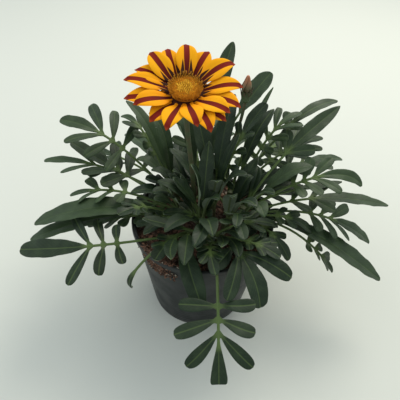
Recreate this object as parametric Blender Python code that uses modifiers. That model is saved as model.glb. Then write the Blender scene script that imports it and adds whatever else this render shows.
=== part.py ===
"""Potted gazania: a thin nursery pot of soil, twelve leafy shoots, one open bloom and one bud.

Sizes are in millimetres and angles in degrees, and MM turns lengths into Blender's metres.
The pot stands on z = 0 with its axis on Z. The bloom faces up and towards -Y.
"""
import math
import random
from typing import NamedTuple

import bmesh
import bpy
import numpy as np
from mathutils import Matrix, Vector
from mathutils.bvhtree import BVHTree
from mathutils.geometry import delaunay_2d_cdt

MM = 0.001
CLEARANCE = 0.3  # gap that separate pieces keep
WELD = 0.01  # points closer than this are one
SMOOTH_BELOW = 35.0  # faces that meet at less than this angle are shaded smooth
GOLDEN_ANGLE = math.pi * (3 - math.sqrt(5))

# Pot
POT_SIDES = 32
POT_HEIGHT = 105.0
LIP_RADIUS = 65.0
LIP_HEIGHT = 5.0
LIP_PROUD = 2.0
BASE_RADIUS = 47.0
WALL = 1.4
LIP_EDGE = 1.0
FOOT_EDGE = 0.8
FLOOR_RAISE = 3.0  # height of the drained ring above the surface that the pot stands on
PAD_RADIUS = 22.0
FOOT_INNER_RADIUS = 42.0
DRAIN_HOLES = 6
DRAIN_RADIUS = 4.0
DRAIN_CIRCLE = 32.0

# Soil
SOIL_TOP = 97.0
SOIL_LUMP = 1.2
SOIL_CLEAR = 2.3  # height over the soil's level that its lumps don't reach
SOIL_POINTS = 130
SOIL_GRAIN = 6.6  # smallest distance between two points of the lumpy top
HOLE_GAP = 0.4
HOLE_DEPTH_Z = 62.0  # height of the lower ends of the stems that stand in the soil
HEAPS = ((5.0, 0.0, 0.9, 30.0), (-38.0, -36.0, 3.2, 14.0))  # x, y, height and reach of each

# Leaves
LEAF_THICKNESS = 0.8
RIB_STEPS = 24
ROOT_HALF = 2.4
PETIOLE_HALF = 1.7
PETIOLE_SHORTEST = 10.0
LOBE_ROOT_HALF = 3.2
WHOLE_BLADE = (0.6, 0.73)  # where a blade is widest, as a share of its length, and how pointed its tip is
END_LOBE = (0.64, 0.4)  # the same for the end lobe of a lobed leaf
CUP = 0.22  # rise of a blade from its midrib towards its edges
CURL = 0.0045  # fall of the same edges, growing with the square of the distance
STEM_RADIUS = 4.6
STEM_SIDES = 8
LEAF_ROOT_LOW = 101.5
LEAF_ROOT_STEP = 1.8
LEAF_ROOT_OFF = 1.8  # distance of a leaf's root from its stem's middle
HEART = 15.0  # length of leaf, from its root, that may touch others of the same shoot
LEAF_CLEARANCE = 1.3

# Bloom, in a frame of its own: z = 0 where the petals leave the middle, and the face looks up Z
STALK_RADIUS = 2.0
STALK_STEPS = 6
STALK_IN_CUP = 1.0  # length of the stalk that runs on inside the cup
STALK_FOOT = (-8.0, 8.0)
BLOOM_CENTRE = (-17.6, -6.3, 233.8)
BLOOM_TILT = 18.0
RAY_HALF = 7.8
RAY_TWIST = 6.0  # largest turn of a petal about its own middle
RAY_THICKNESS = 0.7
RAY_ROOT = 9.5
RAY_ROOT_LOW = -0.9  # height of a lowest petal's root, and what each layer adds
RAY_ROOT_STEP = 0.45
RAY_TIP_LOW = 3.6  # height of its tip, and what each layer adds
RAY_TIP_STEP = 2.0
RAY_RISE = 10.0  # angle at which it leaves the middle, and what each layer adds
RAY_RISE_STEP = 6.0
RAY_DIP = 10.0  # angle at which its tip points down, and what each layer adds
RAY_DIP_STEP = 5.0
RAY_CLAW = 2.3
RAY_STATIONS = (0.0, 0.25, 0.5, 0.74, 0.92)
RECEPTACLE_RADIUS = 15.0
RECEPTACLE_TOP_RADIUS = 10.4
RECEPTACLE_LOW = -1.4
RECEPTACLE_HIGH = 1.7
DISC_RADIUS = 11.2
DISC_HEIGHT = 3.2
DISC_BASE = 2.4
DOME_STEPS = 4
FLORET_COUNT = 46
FLORET_RADIUS = 1.3
FLORET_HEIGHT = 3.2
FLORET_SUNK = 1.2
BRACT_COUNT = 8
BRACT_ROOT = (8.4, -8.5)
BRACT_TIP = (15.4, -2.4)
BRACT_HALF = 2.6
CUP_DEPTH = 15.0
CUP_PROFILE = ((0, -1.7), (9.6, -1.7), (10, -4), (8.8, -8), (6, -12), (2, -CUP_DEPTH), (0, -CUP_DEPTH))

# Bud
BUD_STALK_RADIUS = 1.4
BUD_FOOT = (14.0, 46.0)
BUD_CENTRE = (30.0, 41.0, 201.0)  # where its stalk ends and its cup starts
BUD_CUP_RADIUS = 4.0
BUD_CUP_HEIGHT = 11.0
BUD_RADIUS = 3.9
BUD_LENGTH = 13.5
BUD_BRACTS = 5
BUD_BRACT_HALF = 1.3
BUD_PETALS = 5
BUD_TURN = 1.2  # twist of the closed petals, in radians


class Leaf(NamedTuple):
    """One leaf: where its tip is, how its midrib leaves and arrives, and the outline of its blade."""

    tip: tuple
    rise: float  # angle above level at the root
    dip: float  # angle below level at the tip
    blade: float  # length of the blade, or of the end lobe where there are pairs of lobes
    half: float  # half of that blade's width
    pairs: int = 0
    gap: float = 15.0  # distance between pairs of lobes along the rib
    lobe: float = 29.0  # length of the lobes next to the end lobe
    lobe_half: float = 4.5
    spread: float = 42.0  # angle between the rib and the lobes next to the end lobe
    fan: float = 16.0  # extra spread of each pair of lobes over the pair nearer the tip
    fade: float = 0.84  # size of each pair of lobes against the pair nearer the tip
    roll: float = 0.0  # turn of the blade about its midrib, reached at the tip
    twist: float = 0.0  # turn of the whole blade about its midrib
    sway: float = 0.0  # sideways bend of the midrib
    form: tuple = ()  # as WHOLE_BLADE, for a blade of another form


class Ray(NamedTuple):
    """One petal, in the bloom's own frame."""

    root: float  # compass angle at which it leaves the middle
    tip: float  # compass angle of its tip
    length: float  # distance of its tip from the middle
    layer: float  # 0 under its neighbours, 2 over them


RAYS = (
    Ray(89.7, 92.8, 41.3, 2),
    Ray(70.0, 67.5, 39.4, 1),
    Ray(42.9, 33.6, 41.7, 2),
    Ray(9.7, 4.2, 40.6, 1),
    Ray(-15.1, -21.7, 41.8, 0.6),
    Ray(-41.8, -36.8, 39.2, 2),
    Ray(-50.0, -42.4, 39.6, 0),
    Ray(-59.9, -63.0, 42.9, 1),
    Ray(-78.5, -74.1, 37.5, 2),
    Ray(-103.2, -105.4, 40.0, 1),
    Ray(-124.0, -125.6, 37.9, 0),
    Ray(-144.2, -149.2, 39.8, 2),
    Ray(-160.0, -164.1, 43.5, 0),
    Ray(170.5, 174.8, 44.1, 1),
    Ray(150.6, 157.9, 40.7, 0.5),
    Ray(139.6, 133.0, 41.6, 2),
    Ray(121.5, 112.9, 40.9, 1),
)

SHOOTS = {
    "front": ((-12, -20), [
        Leaf((4, -88, 88), 38, 62, 84, 8.5, sway=-36),
        Leaf((-152, -48, 97), 8, 6, 56, 9, pairs=3, gap=11, lobe=36, spread=64, fade=0.74, twist=-12,
             sway=12),
        Leaf((-56, -68, 86), 52, 122, 22, 2.8, sway=12, form=(0.6, 0.5)),
    ]),
    "front_right": ((10, -22), [
        Leaf((18, -136, 64), 34, 40, 34, 6.5, pairs=3, gap=10, lobe=34, lobe_half=5.4, spread=47, fan=24,
             fade=0.96, form=(0.9, 0.12)),
        Leaf((49, -84, 72), 34, 62, 46, 9, pairs=3, gap=8, lobe=42, lobe_half=6.8, fan=22, sway=18),
        Leaf((66, -14, 94), 44, 40, 28, 5, pairs=2, gap=9, lobe=20),
    ]),
    "left": ((-20, 3), [
        Leaf((-104, -12, 86), 14, 20, 26, 5, pairs=3, gap=10, lobe=18),
        Leaf((-148, -40, 96), 16, 24, 95, 9, form=(0.6, 0.55)),
        Leaf((-147, -23, 102), 22, 26, 118, 12, form=(0.56, 0.55)),
        Leaf((-122, 8, 110), 30, 30, 26, 3.5, pairs=3, gap=12, lobe=22),
        Leaf((-126, 46, 148), 26, -20, 48, 7.5, pairs=2, gap=10, lobe=34, lobe_half=5.5, spread=50),
        Leaf((-44, -4, 128), 52, 6, 40, 6),
    ]),
    "right": ((36, 3), [
        Leaf((124, -24, 66), 30, 55, 18, 4.5, pairs=3, gap=10, lobe=14),
        Leaf((165, -34, 70), 24, 32, 116, 11.5, form=(0.64, 0.55)),
        Leaf((161, 3, 80), 26, 44, 50, 8, pairs=3, gap=10, lobe=28, lobe_half=5, twist=8, form=(0.6, 0.5)),
        Leaf((169, 12, 120), 32, 16, 72, 7.5, pairs=2, gap=16, lobe=26, lobe_half=5, form=(0.52, 0.65)),
        Leaf((36, -40, 116), 64, 40, 40, 7),
        Leaf((138, 12, 142), 50, 54, 46, 5.6, pairs=3, gap=9, lobe=26, roll=35, form=(0.6, 0.5)),
        Leaf((126, 26, 134), 40, -6, 50, 4.5),
        Leaf((92, 15, 146), 50, 10, 54, 8.5),
        Leaf((119, 68, 188), 58, -20, 64, 7, pairs=1, lobe=24, lobe_half=5.5, roll=25, form=(0.5, 0.75)),
    ]),
    "back_left": ((-26, 26), [
        Leaf((-150, 34, 128), 30, 14, 44, 5, pairs=3, gap=12),
        Leaf((-134, 52, 168), 44, 6, 38, 7, pairs=3, gap=11, lobe=38, lobe_half=4.6, spread=48, fan=20,
             twist=-14),
        Leaf((-92, 128, 104), 28, 28, 88, 8),
        Leaf((-130, 90, 108), 26, 20, 50, 6, pairs=3),
        Leaf((-84, 66, 158), 50, 24, 22, 4, pairs=4, gap=9, lobe=15),
        Leaf((-75, 64, 184), 58, -8, 84, 6.5),
        Leaf((-52, 46, 184), 66, -10, 84, 7),
        Leaf((-62, 26, 148), 56, 6, 66, 7),
    ]),
    "back_right": ((25, 26), [
        Leaf((123, 91, 180), 62, 14, 60, 5.6, pairs=1, lobe=16, twist=10, form=(0.56, 0.6)),
        Leaf((140, 80, 120), 30, 22, 48, 6, pairs=3),
        Leaf((85, 65, 168), 58, 10, 28, 4, pairs=4, gap=10, lobe=24, lobe_half=3.5),
        Leaf((112, 72, 150), 46, 10, 34, 5, pairs=3, gap=11),
        Leaf((94, 132, 104), 28, 26, 80, 7.5),
        Leaf((96, 118, 118), 34, 24, 46, 6, pairs=4, gap=13),
        Leaf((57, 74, 200), 74, -30, 70, 2.6),
        Leaf((54, 84, 176), 66, -20, 60, 3.5),
    ]),
    "back": ((-4, 38), [
        Leaf((18, 165, 112), 26, 24, 50, 6.5, pairs=3),
        Leaf((58, 150, 100), 24, 30, 90, 8),
        Leaf((-36, 160, 120), 34, 16, 90, 8.5),
        Leaf((-26, 112, 170), 55, 10, 48, 6, pairs=3),
        Leaf((-34, 70, 178), 68, 0, 70, 7),
        Leaf((55, 86, 208), 66, -36, 46, 10.5, form=(0.6, 0.5)),
        Leaf((18.5, 92, 232), 82, -44, 84, 7.8, form=(0.62, 0.6)),
        Leaf((24, 66, 178), 72, -20, 70, 7),
        Leaf((-10, 126, 88), 30, 56, 70, 7),
        Leaf((36, 108, 84), 34, 66, 60, 7),
    ]),
    "inner_left": ((-1, -8), [
        Leaf((-30, -50, 136), 62, 14, 56, 7),
        Leaf((8, -54, 138), 66, 16, 50, 7.5),
        Leaf((-40, -6, 150), 62, 4, 60, 7.5),
        Leaf((-16, 14, 146), 70, -50, 34, 3.5),
        Leaf((2, 34, 166), 76, -40, 60, 6.5),
        Leaf((-12, -8, 172), 82, -60, 64, 6.5),
    ]),
    "inner_right": ((21, -7), [
        Leaf((32, -58, 128), 60, 24, 30, 5, pairs=2, gap=9, lobe=20),
        Leaf((47, 30, 154), 66, -16, 60, 6),
        Leaf((24, -22, 150), 74, -4, 40, 6),
        Leaf((42, -34, 134), 68, 20, 44, 6.5),
    ]),
    "centre": ((8, 8), [
        Leaf((46, 47, 206), 78, -30, 34, 6.5, pairs=4, gap=13, lobe=14, lobe_half=3.2, fade=1.0),
        Leaf((-36, 24, 158), 66, -6, 60, 7),
        Leaf((22, 54, 184), 76, -20, 80, 7),
        Leaf((-6, 62, 186), 76, -30, 80, 7.5),
        Leaf((27, 24, 176), 80, -50, 70, 4.5),
        Leaf((10, -14, 160), 80, -30, 46, 6),
        Leaf((36, 0, 152), 70, 10, 56, 7),
        Leaf((-20, 40, 160), 70, -20, 60, 7),
    ]),
    "middle_left": ((-14, 19), [
        Leaf((-64, -2, 128), 48, 22, 56, 7),
        Leaf((-48, 16, 144), 58, 12, 50, 6.5),
        Leaf((-38, 50, 156), 68, -4, 64, 6.5),
    ]),
    "middle_right": ((23, 12), [
        Leaf((86, -14, 128), 44, 20, 54, 6),
        Leaf((84, 44, 126), 50, 10, 30, 5, pairs=2, gap=10, lobe=20),
        Leaf((78, 26, 142), 54, 6, 60, 6.5),
        Leaf((58, 56, 164), 66, -10, 66, 6.5),
    ]),
}

NUDGES = sorted(
    ((swing, lift) for swing in range(-24, 25, 4) for lift in range(-30, 31, 6)),
    key=lambda move: (move[0] / 4) ** 2 + (move[1] / 6) ** 2,
)


def heading(azimuth, pitch):
    """Unit vector at a compass angle from +X and an angle above level."""
    a, p = math.radians(azimuth), math.radians(pitch)
    return np.array([math.cos(a) * math.cos(p), math.sin(a) * math.cos(p), math.sin(p)])


def unit(rows):
    return rows / np.linalg.norm(rows, axis=-1, keepdims=True)


def bezier(start, a, b, end, count):
    """Points along a cubic curve from start to end, with a and b as its handles."""
    t = np.linspace(0, 1, count)[:, None]
    return (1 - t) ** 3 * start + 3 * t * (1 - t) ** 2 * a + 3 * t**2 * (1 - t) * b + t**3 * end


class Rib:
    """A leaf's midrib, one cubic curve that is read by the distance along it."""

    def __init__(self, leaf, root):
        root, tip = np.array(root, float), np.array(leaf.tip, float)
        span = np.linalg.norm(tip - root)
        azimuth = math.degrees(math.atan2(tip[1] - root[1], tip[0] - root[0]))
        leave = root + heading(azimuth + leaf.sway, leaf.rise) * span * 0.40
        arrive = tip - heading(azimuth - leaf.sway, -leaf.dip) * span * 0.36
        self.points = bezier(root, leave, arrive, tip, RIB_STEPS + 1)
        steps = np.linalg.norm(np.diff(self.points, axis=0), axis=1)
        self.along = np.concatenate([[0.0], np.cumsum(steps)])
        self.length = self.along[-1]
        tangent = unit(np.gradient(self.points, self.along, axis=0))
        level = heading(azimuth + 90, 0)
        side = unit(level - tangent * (tangent @ level)[:, None])
        normal = np.cross(tangent, side)
        roll = np.radians(leaf.twist + leaf.roll * self.along / self.length)[:, None]
        self.side = side * np.cos(roll) + normal * np.sin(roll)
        self.normal = normal * np.cos(roll) - side * np.sin(roll)

    def read(self, table, u):
        return np.stack([np.interp(u, self.along, table[:, axis]) for axis in range(3)], axis=1)

    def lay(self, flat, lift=0.0):
        """Lays a flat pattern of (along, across) points on the curve, cupped along the midrib."""
        u, v = flat[:, 0], flat[:, 1:]
        reach = np.abs(v)
        height = CUP * reach - CURL * reach**2 + lift
        return self.read(self.points, u) + self.read(self.side, u) * v + self.read(self.normal, u) * height


def blade_width(leaf, t):
    """Share of the full width along a leaf's blade or end lobe, from its start at 0 to its tip at 1."""
    widest, point = leaf.form or (END_LOBE if leaf.pairs else WHOLE_BLADE)
    start = point * widest / (1 - widest)
    return (t / widest) ** start * ((1 - t) / (1 - widest)) ** point if 0 < t < 1 else 0.0


WHOLE_STATIONS = (0.0, 0.24, 0.5, 0.76, 0.94)
END_LOBE_STATIONS = (0.3, 0.64, 0.9)
LOBE_STATIONS = ((0.36, 0.76), (0.78, 0.94))  # place along the lobe, and width there


def strip(rows, length, across=(1, 0, -1)):
    """Points and triangles of a blade, drawn by rows of (along, half width) and a tip."""
    points = [(u, half * side) for u, half in rows for side in across]
    n = len(across)
    faces = []
    for row in range(0, len(points) - n, n):
        for a in range(row, row + n - 1):
            faces += [(a, a + 1, a + n + 1), (a, a + n + 1, a + n)]
    tip = len(points)
    points.append((length, 0.0))
    faces += [(a, a + 1, tip) for a in range(tip - n, tip - 1)]
    return points, faces


def flat_leaf(leaf, length, rng):
    """The leaf as cut from paper: points (along, across) and triangles, all turned the same way."""
    start = max(length - leaf.blade, PETIOLE_SHORTEST)
    lobe_places = [start - LOBE_ROOT_HALF - leaf.gap * k for k in reversed(range(leaf.pairs))]
    petiole = (lobe_places[0] if leaf.pairs else start) - LOBE_ROOT_HALF
    rows = [(0.0, ROOT_HALF), (petiole * 0.5, PETIOLE_HALF)]
    for place in lobe_places:
        rows += [(place - LOBE_ROOT_HALF, PETIOLE_HALF), (place + LOBE_ROOT_HALF, PETIOLE_HALF)]
    for t in END_LOBE_STATIONS if leaf.pairs else WHOLE_STATIONS:
        rows.append((start + (length - start) * t, max(leaf.half * blade_width(leaf, t), PETIOLE_HALF)))
    points, faces = strip(rows, length, (1, -1) if leaf.pairs else (1, 0, -1))

    for k, place in enumerate(lobe_places):
        order = leaf.pairs - 1 - k  # number of pairs between this one and the end lobe
        size = leaf.fade**order
        corner = 2 * (2 + 2 * k)
        for side, near in ((1, corner), (-1, corner + 1)):
            far = near + 2
            long = leaf.lobe * size * rng.uniform(0.88, 1.1)
            angle = math.radians(leaf.spread + leaf.fan * order + rng.uniform(-3, 3))
            ahead = np.array([math.cos(angle), math.sin(angle) * side])
            aside = np.array([math.sin(angle), -math.cos(angle) * side])
            base = np.array([place, PETIOLE_HALF * side])
            for t, width in LOBE_STATIONS:
                middle = base + ahead * long * t
                half = aside * leaf.lobe_half * (0.8 + 0.2 * size) * width
                points += [tuple(middle - half), tuple(middle + half)]
                near_next, far_next = len(points) - 2, len(points) - 1
                a, b, c, d = (near, far, far_next, near_next)[::side]
                faces += [(a, b, c), (a, c, d)]
                near, far = near_next, far_next
            points.append(tuple(base + ahead * long))
            faces.append((near, far, len(points) - 1)[::side])
    return np.array(points), faces


def nudge(leaf, root, swing, lift):
    """The same leaf swung about its shoot and raised, to pass clear of the others."""
    x, y, z = np.array(leaf.tip, float) - (root[0], root[1], 0)
    a = math.radians(swing)
    turned = (x * math.cos(a) - y * math.sin(a), x * math.sin(a) + y * math.cos(a))
    return leaf._replace(tip=(root[0] + turned[0], root[1] + turned[1], z + lift))


def tube(path, radii, sides=10):
    """Points and faces of a plain skin round a path, as an obstacle for the leaves."""
    path = np.array(path, float)
    ahead = unit(np.gradient(path, axis=0))
    across = unit(np.cross(ahead, (0.31, 0.87, 0.12)))
    over = np.cross(ahead, across)
    rings = []
    for middle, a, o, radius in zip(path, across, over, radii):
        for turn in np.linspace(0, 2 * math.pi, sides, endpoint=False):
            rings.append(middle + radius * (a * math.cos(turn) + o * math.sin(turn)))
    faces = []
    for ring in range(len(path) - 1):
        for i in range(sides):
            a, b = ring * sides + i, ring * sides + (i + 1) % sides
            faces.append((a, b, b + sides, a + sides))
    return rings, faces


def stalk_path(foot, top, lean):
    """Points from a foot in the soil to a top that it reaches along the direction lean."""
    above = np.array([*foot, SOIL_TOP])
    end = np.array(top, float)
    span = np.linalg.norm(end - above)
    a = above + np.array([0, 0, 0.4 * span])
    b = end - np.array(lean) * 0.3 * span
    return np.vstack([[*foot, HOLE_DEPTH_Z], bezier(above, a, b, end, STALK_STEPS)])


def bloom_axis():
    tilt = math.radians(BLOOM_TILT)
    return np.array([0.0, -math.sin(tilt), math.cos(tilt)])


def flower_stalk_path():
    axis = bloom_axis()
    return stalk_path(STALK_FOOT, np.array(BLOOM_CENTRE) - axis * (CUP_DEPTH - STALK_IN_CUP), axis)


def bud_stalk_path():
    return stalk_path(BUD_FOOT, np.array(BUD_CENTRE) + (0, 0, STALK_IN_CUP), (0, 0, 1))


def stem_top(leaf_count):
    return LEAF_ROOT_LOW + LEAF_ROOT_STEP * leaf_count


def obstacles():
    """Skins of what every leaf stays clear of: soil, pot, stalk and bloom, stalk and bud."""
    bloom, axis = np.array(BLOOM_CENTRE), bloom_axis()
    bud = np.array(BUD_CENTRE)
    stalk_points = STALK_STEPS + 1
    reach = max(ray.length for ray in RAYS) + 1
    bloom_path = [bloom - axis * (CUP_DEPTH + 1), bloom - axis * 3, bloom + axis * 8]
    low, high = SOIL_TOP - 10, POT_HEIGHT + CLEARANCE
    inner, outer = pot_outer(low) - WALL - CLEARANCE, LIP_RADIUS + CLEARANCE
    above_soil = np.array([0, 0, SOIL_TOP + SOIL_CLEAR])
    soil = [heading(360 * k / POT_SIDES, 0) * inner + above_soil for k in range(POT_SIDES)]
    return [
        (soil, [tuple(range(POT_SIDES))]),
        tube([(0, 0, low), (0, 0, high - CLEARANCE), (0, 0, high)], (inner, inner, outer), POT_SIDES),
        tube([(0, 0, low), (0, 0, high)], (outer, outer), POT_SIDES),
        tube(flower_stalk_path(), (STALK_RADIUS + 1,) * stalk_points),
        tube(bloom_path, (5, reach, reach), 20),
        tube(bud_stalk_path(), (BUD_STALK_RADIUS + 1,) * stalk_points),
        tube([bud, bud + (0, 0, BUD_CUP_HEIGHT + BUD_LENGTH + 3)], (BUD_CUP_RADIUS + 2,) * 2),
    ]


def leaf_root(crown, leaf, order):
    """Where the leaf starts: inside its stem, a little off the middle, later leaves higher."""
    azimuth = math.atan2(leaf.tip[1] - crown[1], leaf.tip[0] - crown[0])
    x = crown[0] + LEAF_ROOT_OFF * math.cos(azimuth)
    y = crown[1] + LEAF_ROOT_OFF * math.sin(azimuth)
    return (x, y, LEAF_ROOT_LOW + LEAF_ROOT_STEP * order)


def skin_tree(points, faces):
    return BVHTree.FromPolygons([tuple(p) for p in points], faces)


def is_clear(rib, flat, faces, trees):
    """True where the leaf, and sheets up to a clearance above and below it, cross none of the trees."""
    for share in (-1.0, -0.35, 0.0, 0.35, 1.0):
        sheet = skin_tree(rib.lay(flat, share * LEAF_CLEARANCE), faces)
        if any(sheet.overlap(tree) for tree in trees):
            return False
    return True


def place_leaves():
    """Every leaf at its first nudge that is clear: from shoot name to a list of (rib, flat, faces)."""
    fixed = [skin_tree(*skin) for skin in obstacles()]
    stems = {}
    for name, (crown, leaves) in SHOOTS.items():
        path = [(*crown, SOIL_TOP - 15), (*crown, stem_top(len(leaves)))]
        stems[name] = skin_tree(*tube(path, (STEM_RADIUS + 1,) * 2))
    placed = {name: [] for name in SHOOTS}
    whole = []  # shoot name and tree of each leaf so far
    outer = []  # the same without the part in the heart of its shoot
    number = 0
    for name, (crown, leaves) in SHOOTS.items():
        for order, leaf in enumerate(leaves):
            number += 1
            others = fixed + [stem for shoot, stem in stems.items() if shoot != name]
            others += [tree for shoot, tree in whole if shoot != name]
            same = [tree for shoot, tree in outer if shoot == name]
            for swing, lift in NUDGES:
                moved = nudge(leaf, crown, swing, lift)
                rib = Rib(moved, leaf_root(crown, moved, order))
                flat, faces = flat_leaf(moved, rib.length, random.Random(number))
                outer_faces = [face for face in faces if min(flat[i][0] for i in face) > HEART]
                if is_clear(rib, flat, faces, others) and is_clear(rib, flat, outer_faces, same):
                    break
            else:
                raise ValueError(f"leaf {order} of shoot {name} has no clear place")
            placed[name].append((rib, flat, faces))
            whole.append((name, skin_tree(rib.lay(flat), faces)))
            outer.append((name, skin_tree(rib.lay(flat), outer_faces)))
    return placed


def add_object(name, mesh, group):
    obj = bpy.data.objects.new(name, mesh)
    group.objects.link(obj)
    return obj


def mesh_from(name, points, faces):
    """A mesh from points in millimetres."""
    mesh = bpy.data.meshes.new(name)
    mesh.from_pydata([tuple(c * MM for c in p) for p in points], [], faces)
    return mesh


def realise(obj):
    """Replaces a curve, or the modifiers of a mesh, by the welded mesh that they make."""
    graph = bpy.context.evaluated_depsgraph_get()
    mesh = bpy.data.meshes.new_from_object(obj.evaluated_get(graph))
    shape = bmesh.new()
    shape.from_mesh(mesh)
    bmesh.ops.remove_doubles(shape, verts=shape.verts, dist=WELD * MM)
    shape.to_mesh(mesh)
    shape.free()
    solid = bpy.data.objects.new(obj.name + "_solid", mesh)
    solid.matrix_world = obj.matrix_world.copy()
    for group in obj.users_collection:
        group.objects.link(solid)
    name = obj.name
    bpy.data.objects.remove(obj)
    solid.name = name
    return solid


def combine(body, tools, operation, solver="EXACT"):
    """One applied Boolean of a body with a collection of closed tools, which are then removed."""
    modifier = body.modifiers.new(operation.title(), "BOOLEAN")
    modifier.operation = operation
    modifier.operand_type = "COLLECTION"
    modifier.collection = tools
    modifier.solver = solver
    body = realise(body)
    for tool in list(tools.objects):
        bpy.data.objects.remove(tool)
    bpy.data.collections.remove(tools)
    return body


def cylinder(name, group, centre, radius, low, high, sides, top_radius=None):
    """An upright cylinder or cone frustum between two heights."""
    shape = bmesh.new()
    bmesh.ops.create_cone(
        shape,
        cap_ends=True,
        segments=sides,
        radius1=radius * MM,
        radius2=(radius if top_radius is None else top_radius) * MM,
        depth=(high - low) * MM,
        matrix=Matrix.Translation(Vector((centre[0], centre[1], (low + high) / 2)) * MM),
    )
    mesh = bpy.data.meshes.new(name)
    shape.to_mesh(mesh)
    shape.free()
    return add_object(name, mesh, group)


def turned(name, group, profile, sides):
    """A solid turned about Z from a profile of (radius, height) that runs down its outer side."""
    edges = [(i, i + 1) for i in range(len(profile) - 1)]
    mesh = bpy.data.meshes.new(name)
    mesh.from_pydata([(r * MM, 0.0, z * MM) for r, z in profile], edges, [])
    obj = add_object(name, mesh, group)
    screw = obj.modifiers.new("Screw", "SCREW")
    screw.axis = "Z"
    screw.steps = sides
    screw.render_steps = sides
    screw.use_merge_vertices = True
    screw.merge_threshold = WELD * MM
    return realise(obj)


def wire(name, group, path, radius):
    """A round stalk along a path, with closed ends."""
    curve = bpy.data.curves.new(name, "CURVE")
    curve.dimensions = "3D"
    curve.bevel_depth = radius * MM
    curve.bevel_resolution = 1
    curve.use_fill_caps = True
    spline = curve.splines.new("POLY")
    spline.points.add(len(path) - 1)
    for point, place in zip(spline.points, path):
        point.co = (*(float(c) * MM for c in place), 1.0)
    return realise(add_object(name, curve, group))


def blade(name, group, points, faces, thickness):
    """A thin closed blade about an open sheet."""
    obj = add_object(name, mesh_from(name, points, faces), group)
    solidify = obj.modifiers.new("Solidify", "SOLIDIFY")
    solidify.thickness = thickness * MM
    solidify.offset = 0.0
    return realise(obj)


def finish(obj, colour, roughness, metallic=0.0):
    """Gives a finished piece its material and its shading."""
    material = bpy.data.materials.new(obj.name)
    material.use_nodes = True
    surface = material.node_tree.nodes["Principled BSDF"]
    surface.inputs["Base Color"].default_value = (*colour, 1.0)
    surface.inputs["Roughness"].default_value = roughness
    surface.inputs["Metallic"].default_value = metallic
    obj.data.materials.clear()
    obj.data.materials.append(material)
    obj.data.shade_smooth()
    obj.data.set_sharp_from_angle(angle=math.radians(SMOOTH_BELOW))


def pot_outer(z):
    """Radius of the pot's outer wall at a height under the lip."""
    neck = POT_HEIGHT - LIP_HEIGHT
    return BASE_RADIUS + (LIP_RADIUS - LIP_PROUD - BASE_RADIUS) * z / neck


def build_pot(parts):
    """A thin moulded pot: a tapered wall, a rounded lip, a foot ring, a drained floor and a centre pad."""
    neck = POT_HEIGHT - LIP_HEIGHT
    floor = FLOOR_RAISE + WALL
    step = FLOOR_RAISE * 0.6
    profile = [
        (0, WALL),
        (PAD_RADIUS, WALL),
        (PAD_RADIUS + step, floor),
        (FOOT_INNER_RADIUS - step, floor),
        (pot_outer(floor) - WALL, floor),
        (pot_outer(neck) - WALL, neck),
        (pot_outer(neck) - WALL, POT_HEIGHT - LIP_EDGE),
        (pot_outer(neck) - WALL + LIP_EDGE, POT_HEIGHT),
        (LIP_RADIUS - LIP_EDGE, POT_HEIGHT),
        (LIP_RADIUS, POT_HEIGHT - LIP_EDGE),
        (LIP_RADIUS, neck),
        (pot_outer(neck), neck),
        (BASE_RADIUS, FOOT_EDGE),
        (BASE_RADIUS - FOOT_EDGE, 0),
        (FOOT_INNER_RADIUS, 0),
        (FOOT_INNER_RADIUS - step, FLOOR_RAISE),
        (PAD_RADIUS + step, FLOOR_RAISE),
        (PAD_RADIUS, 0),
        (0, 0),
    ]
    pot = turned("pot", parts, profile, POT_SIDES)
    cutters = new_collection("pot_cutters")
    for hole in range(DRAIN_HOLES):
        turn = 2 * math.pi * (hole + 0.5) / DRAIN_HOLES
        centre = (DRAIN_CIRCLE * math.cos(turn), DRAIN_CIRCLE * math.sin(turn))
        cylinder("drain", cutters, centre, DRAIN_RADIUS, -1, floor + 1, 8)
    finish(combine(pot, cutters, "DIFFERENCE"), (0.028, 0.030, 0.034), 0.45)


def soil_height(x, y, rng):
    """Height of the soil's top: two low heaps, with crumbs."""
    height = SOIL_TOP + rng.uniform(-SOIL_LUMP, SOIL_LUMP)
    for heap_x, heap_y, rise, reach in HEAPS:
        height += rise * math.exp(-((x - heap_x) ** 2 + (y - heap_y) ** 2) / reach**2)
    return height


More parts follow.
